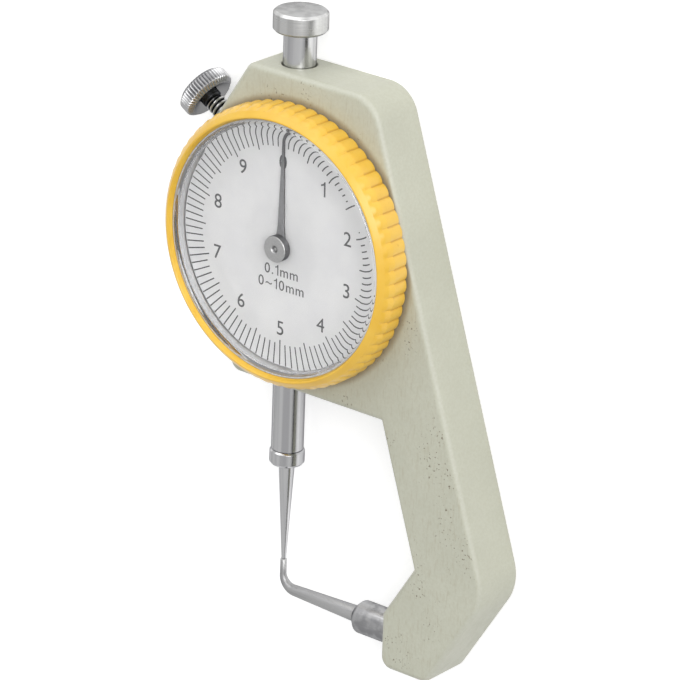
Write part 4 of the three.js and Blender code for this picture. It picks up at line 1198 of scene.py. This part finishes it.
# Back cover and its screws
def back_pieces():
    lid_edge, screw_edge = 0.12, 0.04
    sink_wide, sink_narrow, sink_floor, sink_depth = 1.95, 0.95, 0.5, 2
    head, shank, slot_half, slot_depth = 0.75, 0.4, 0.15, 0.2
    profile = eased([(0, 0), (cover_radius, 0, lid_edge), (cover_radius, cover_high.z), (0, cover_high.z)])
    cover = turned("rear_lid", profile, FINE)
    sink = [
        (0, -OVERRUN), (sink_wide, -OVERRUN), (sink_narrow, 0), (COVER_SCREW_CORE, sink_floor),
        (COVER_SCREW_CORE, sink_depth), (0, sink_depth),
    ]
    places = [on_circle(cover_radius - COVER_SCREW_INSET, angle) for angle in COVER_SCREW_ANGLES]
    carve(cover, [turned("cutter", sink, SMALL, at(*place)) for place in places])
    dress(cover, paint, "housing", "painted_frame", "back_cover")
    body = eased([(0, 0), (head, 0, screw_edge), (shank, sink_floor), (shank, sink_depth), (0, sink_depth)])
    for index, (x, y) in enumerate(places):
        screw = turned(f"lid_screw_{index + 1}", body, SMALL, at(x, y))
        slot_low = (x - 2 * head, y - slot_half, -OVERRUN)
        carve(screw, [block(slot_low, (x + 2 * head, y + slot_half, slot_depth))])
        dress(screw, screw_steel, "housing", "turned_steel", f"cover_screw_{index + 1}")


back_pieces()


# Movement inside: the CAD nodes stay, in worked metal
SLOT_LOOKS = {
    "turned_steel": screw_steel,
    "ground_steel": rod_steel,
    "spring_steel": dark_steel,
    "brass": brass,
}
for entry in frame["record"]["materials"]:
    for node in entry.get("nodes", []):
        if entry["slot"] in SLOT_LOOKS and not frame["nodes"][node].hide_render:
            frame["nodes"][node].data.materials.clear()
            frame["nodes"][node].data.materials.append(SLOT_LOOKS[entry["slot"]])


# Floor, light and camera
FLOOR_HALF = 400
FLOOR_GREY = 0.8
FLOOR_GLOW = 0.45
CARD_GREY = 0.03
WORLD_LEVEL = 0.6
LAMP_AIM = Vector((0.005, -0.012, 0.005))


def floor_look():
    """Pale floor with a plain glow that only camera, glossy and transmission rays meet."""
    look = Look("pale_floor", (FLOOR_GREY, FLOOR_GREY, FLOOR_GREY, 1), 1)
    look.tree.nodes.remove(look.shader)
    diffuse = look.node("ShaderNodeBsdfDiffuse", {"Color": (FLOOR_GREY, FLOOR_GREY, FLOOR_GREY, 1)})
    path = look.node("ShaderNodeLightPath", {}).outputs
    seen = look.larger(path["Is Camera Ray"], path["Is Glossy Ray"])
    seen = look.larger(seen, path["Is Transmission Ray"])
    glow = look.node("ShaderNodeEmission", {"Strength": look.times(seen, FLOOR_GLOW)})
    both = look.node("ShaderNodeAddShader", {0: diffuse.outputs[0], 1: glow.outputs[0]})
    look.tree.links.new(both.outputs[0], look.tree.nodes["Material Output"].inputs["Surface"])
    return look.material


def stage():
    corners = [(x * FLOOR_HALF, y * FLOOR_HALF, 0) for x, y in ((-1, -1), (1, -1), (1, 1), (-1, 1))]
    floor = solid("floor", corners, [(0, 1, 2, 3)])
    floor.data.materials.append(floor_look())


def lamp(name, place, size, power):
    """Round lamp at a place in metres, turned toward the object."""
    light = bpy.data.lights.new(name, "AREA")
    light.shape = "DISK"
    light.size = size
    light.energy = power
    fixture = linked(name, light)
    spot = Vector(place)
    aim = LAMP_AIM - spot
    fixture.matrix_world = Matrix.Translation(spot) @ aim.to_track_quat("-Z", "Y").to_matrix().to_4x4()


def dark_card(name, corners):
    """A grey card that only reflections show, for metal to have a darker side."""
    card = solid(name, corners, [(0, 1, 2, 3)])
    card.data.materials.append(Look(name, (CARD_GREY, CARD_GREY, CARD_GREY, 1), 0.5).material)
    card.visible_camera = False
    card.visible_shadow = False
    card.visible_diffuse = False


stage()
card_x, card_back, card_front, card_low, card_high = 110, 90, -150, 0.3, 42
dark_card("right_card", [
    (card_x, card_front, card_low), (card_x, card_back, card_low),
    (card_x, card_back, card_high), (card_x, card_front, card_high),
])
lamp("key", (-0.18, 0.66, 0.32), 0.8, 2.2)
lamp("fill", (0.5, 0.28, 0.45), 0.5, 2.6)
world = bpy.data.worlds.new("studio")
bpy.context.scene.world = world
world.use_nodes = True
world.node_tree.nodes["Background"].inputs["Color"].default_value = (1, 1, 1, 1)
world.node_tree.nodes["Background"].inputs["Strength"].default_value = WORLD_LEVEL


# Camera: turned about the spindle's direction from straight before the dial, then raised
CAMERA_TURN = math.radians(38.46)
CAMERA_RISE = math.radians(21.89)
CAMERA_ROLL = math.radians(2.09)
CAMERA_DISTANCE = 560
CAMERA_AIM = Vector((9.65, -9.86, 9.95))
FOCAL_PIXELS = 4519
IMAGE_PIXELS = 680


def camera():
    lens = bpy.data.cameras.new("camera")
    lens.sensor_width = 36
    lens.lens = FOCAL_PIXELS / IMAGE_PIXELS * lens.sensor_width
    lens.clip_start = 0.01
    eye = linked("camera", lens)
    bpy.context.scene.camera = eye
    sine, cosine = math.sin(CAMERA_TURN), math.cos(CAMERA_TURN)
    back = Vector((sine * math.cos(CAMERA_RISE), math.sin(CAMERA_RISE), cosine * math.cos(CAMERA_RISE)))
    right = Vector((cosine, 0, -sine))
    up = back.cross(right)
    rolled_right = right * math.cos(CAMERA_ROLL) + up * math.sin(CAMERA_ROLL)
    rolled_up = up * math.cos(CAMERA_ROLL) - right * math.sin(CAMERA_ROLL)
    turn = Matrix((rolled_right, rolled_up, back)).transposed().to_4x4()
    eye.matrix_world = Matrix.Translation((CAMERA_AIM + back * CAMERA_DISTANCE) * MM) @ turn


camera()
bpy.context.scene.view_settings.view_transform = "Standard"
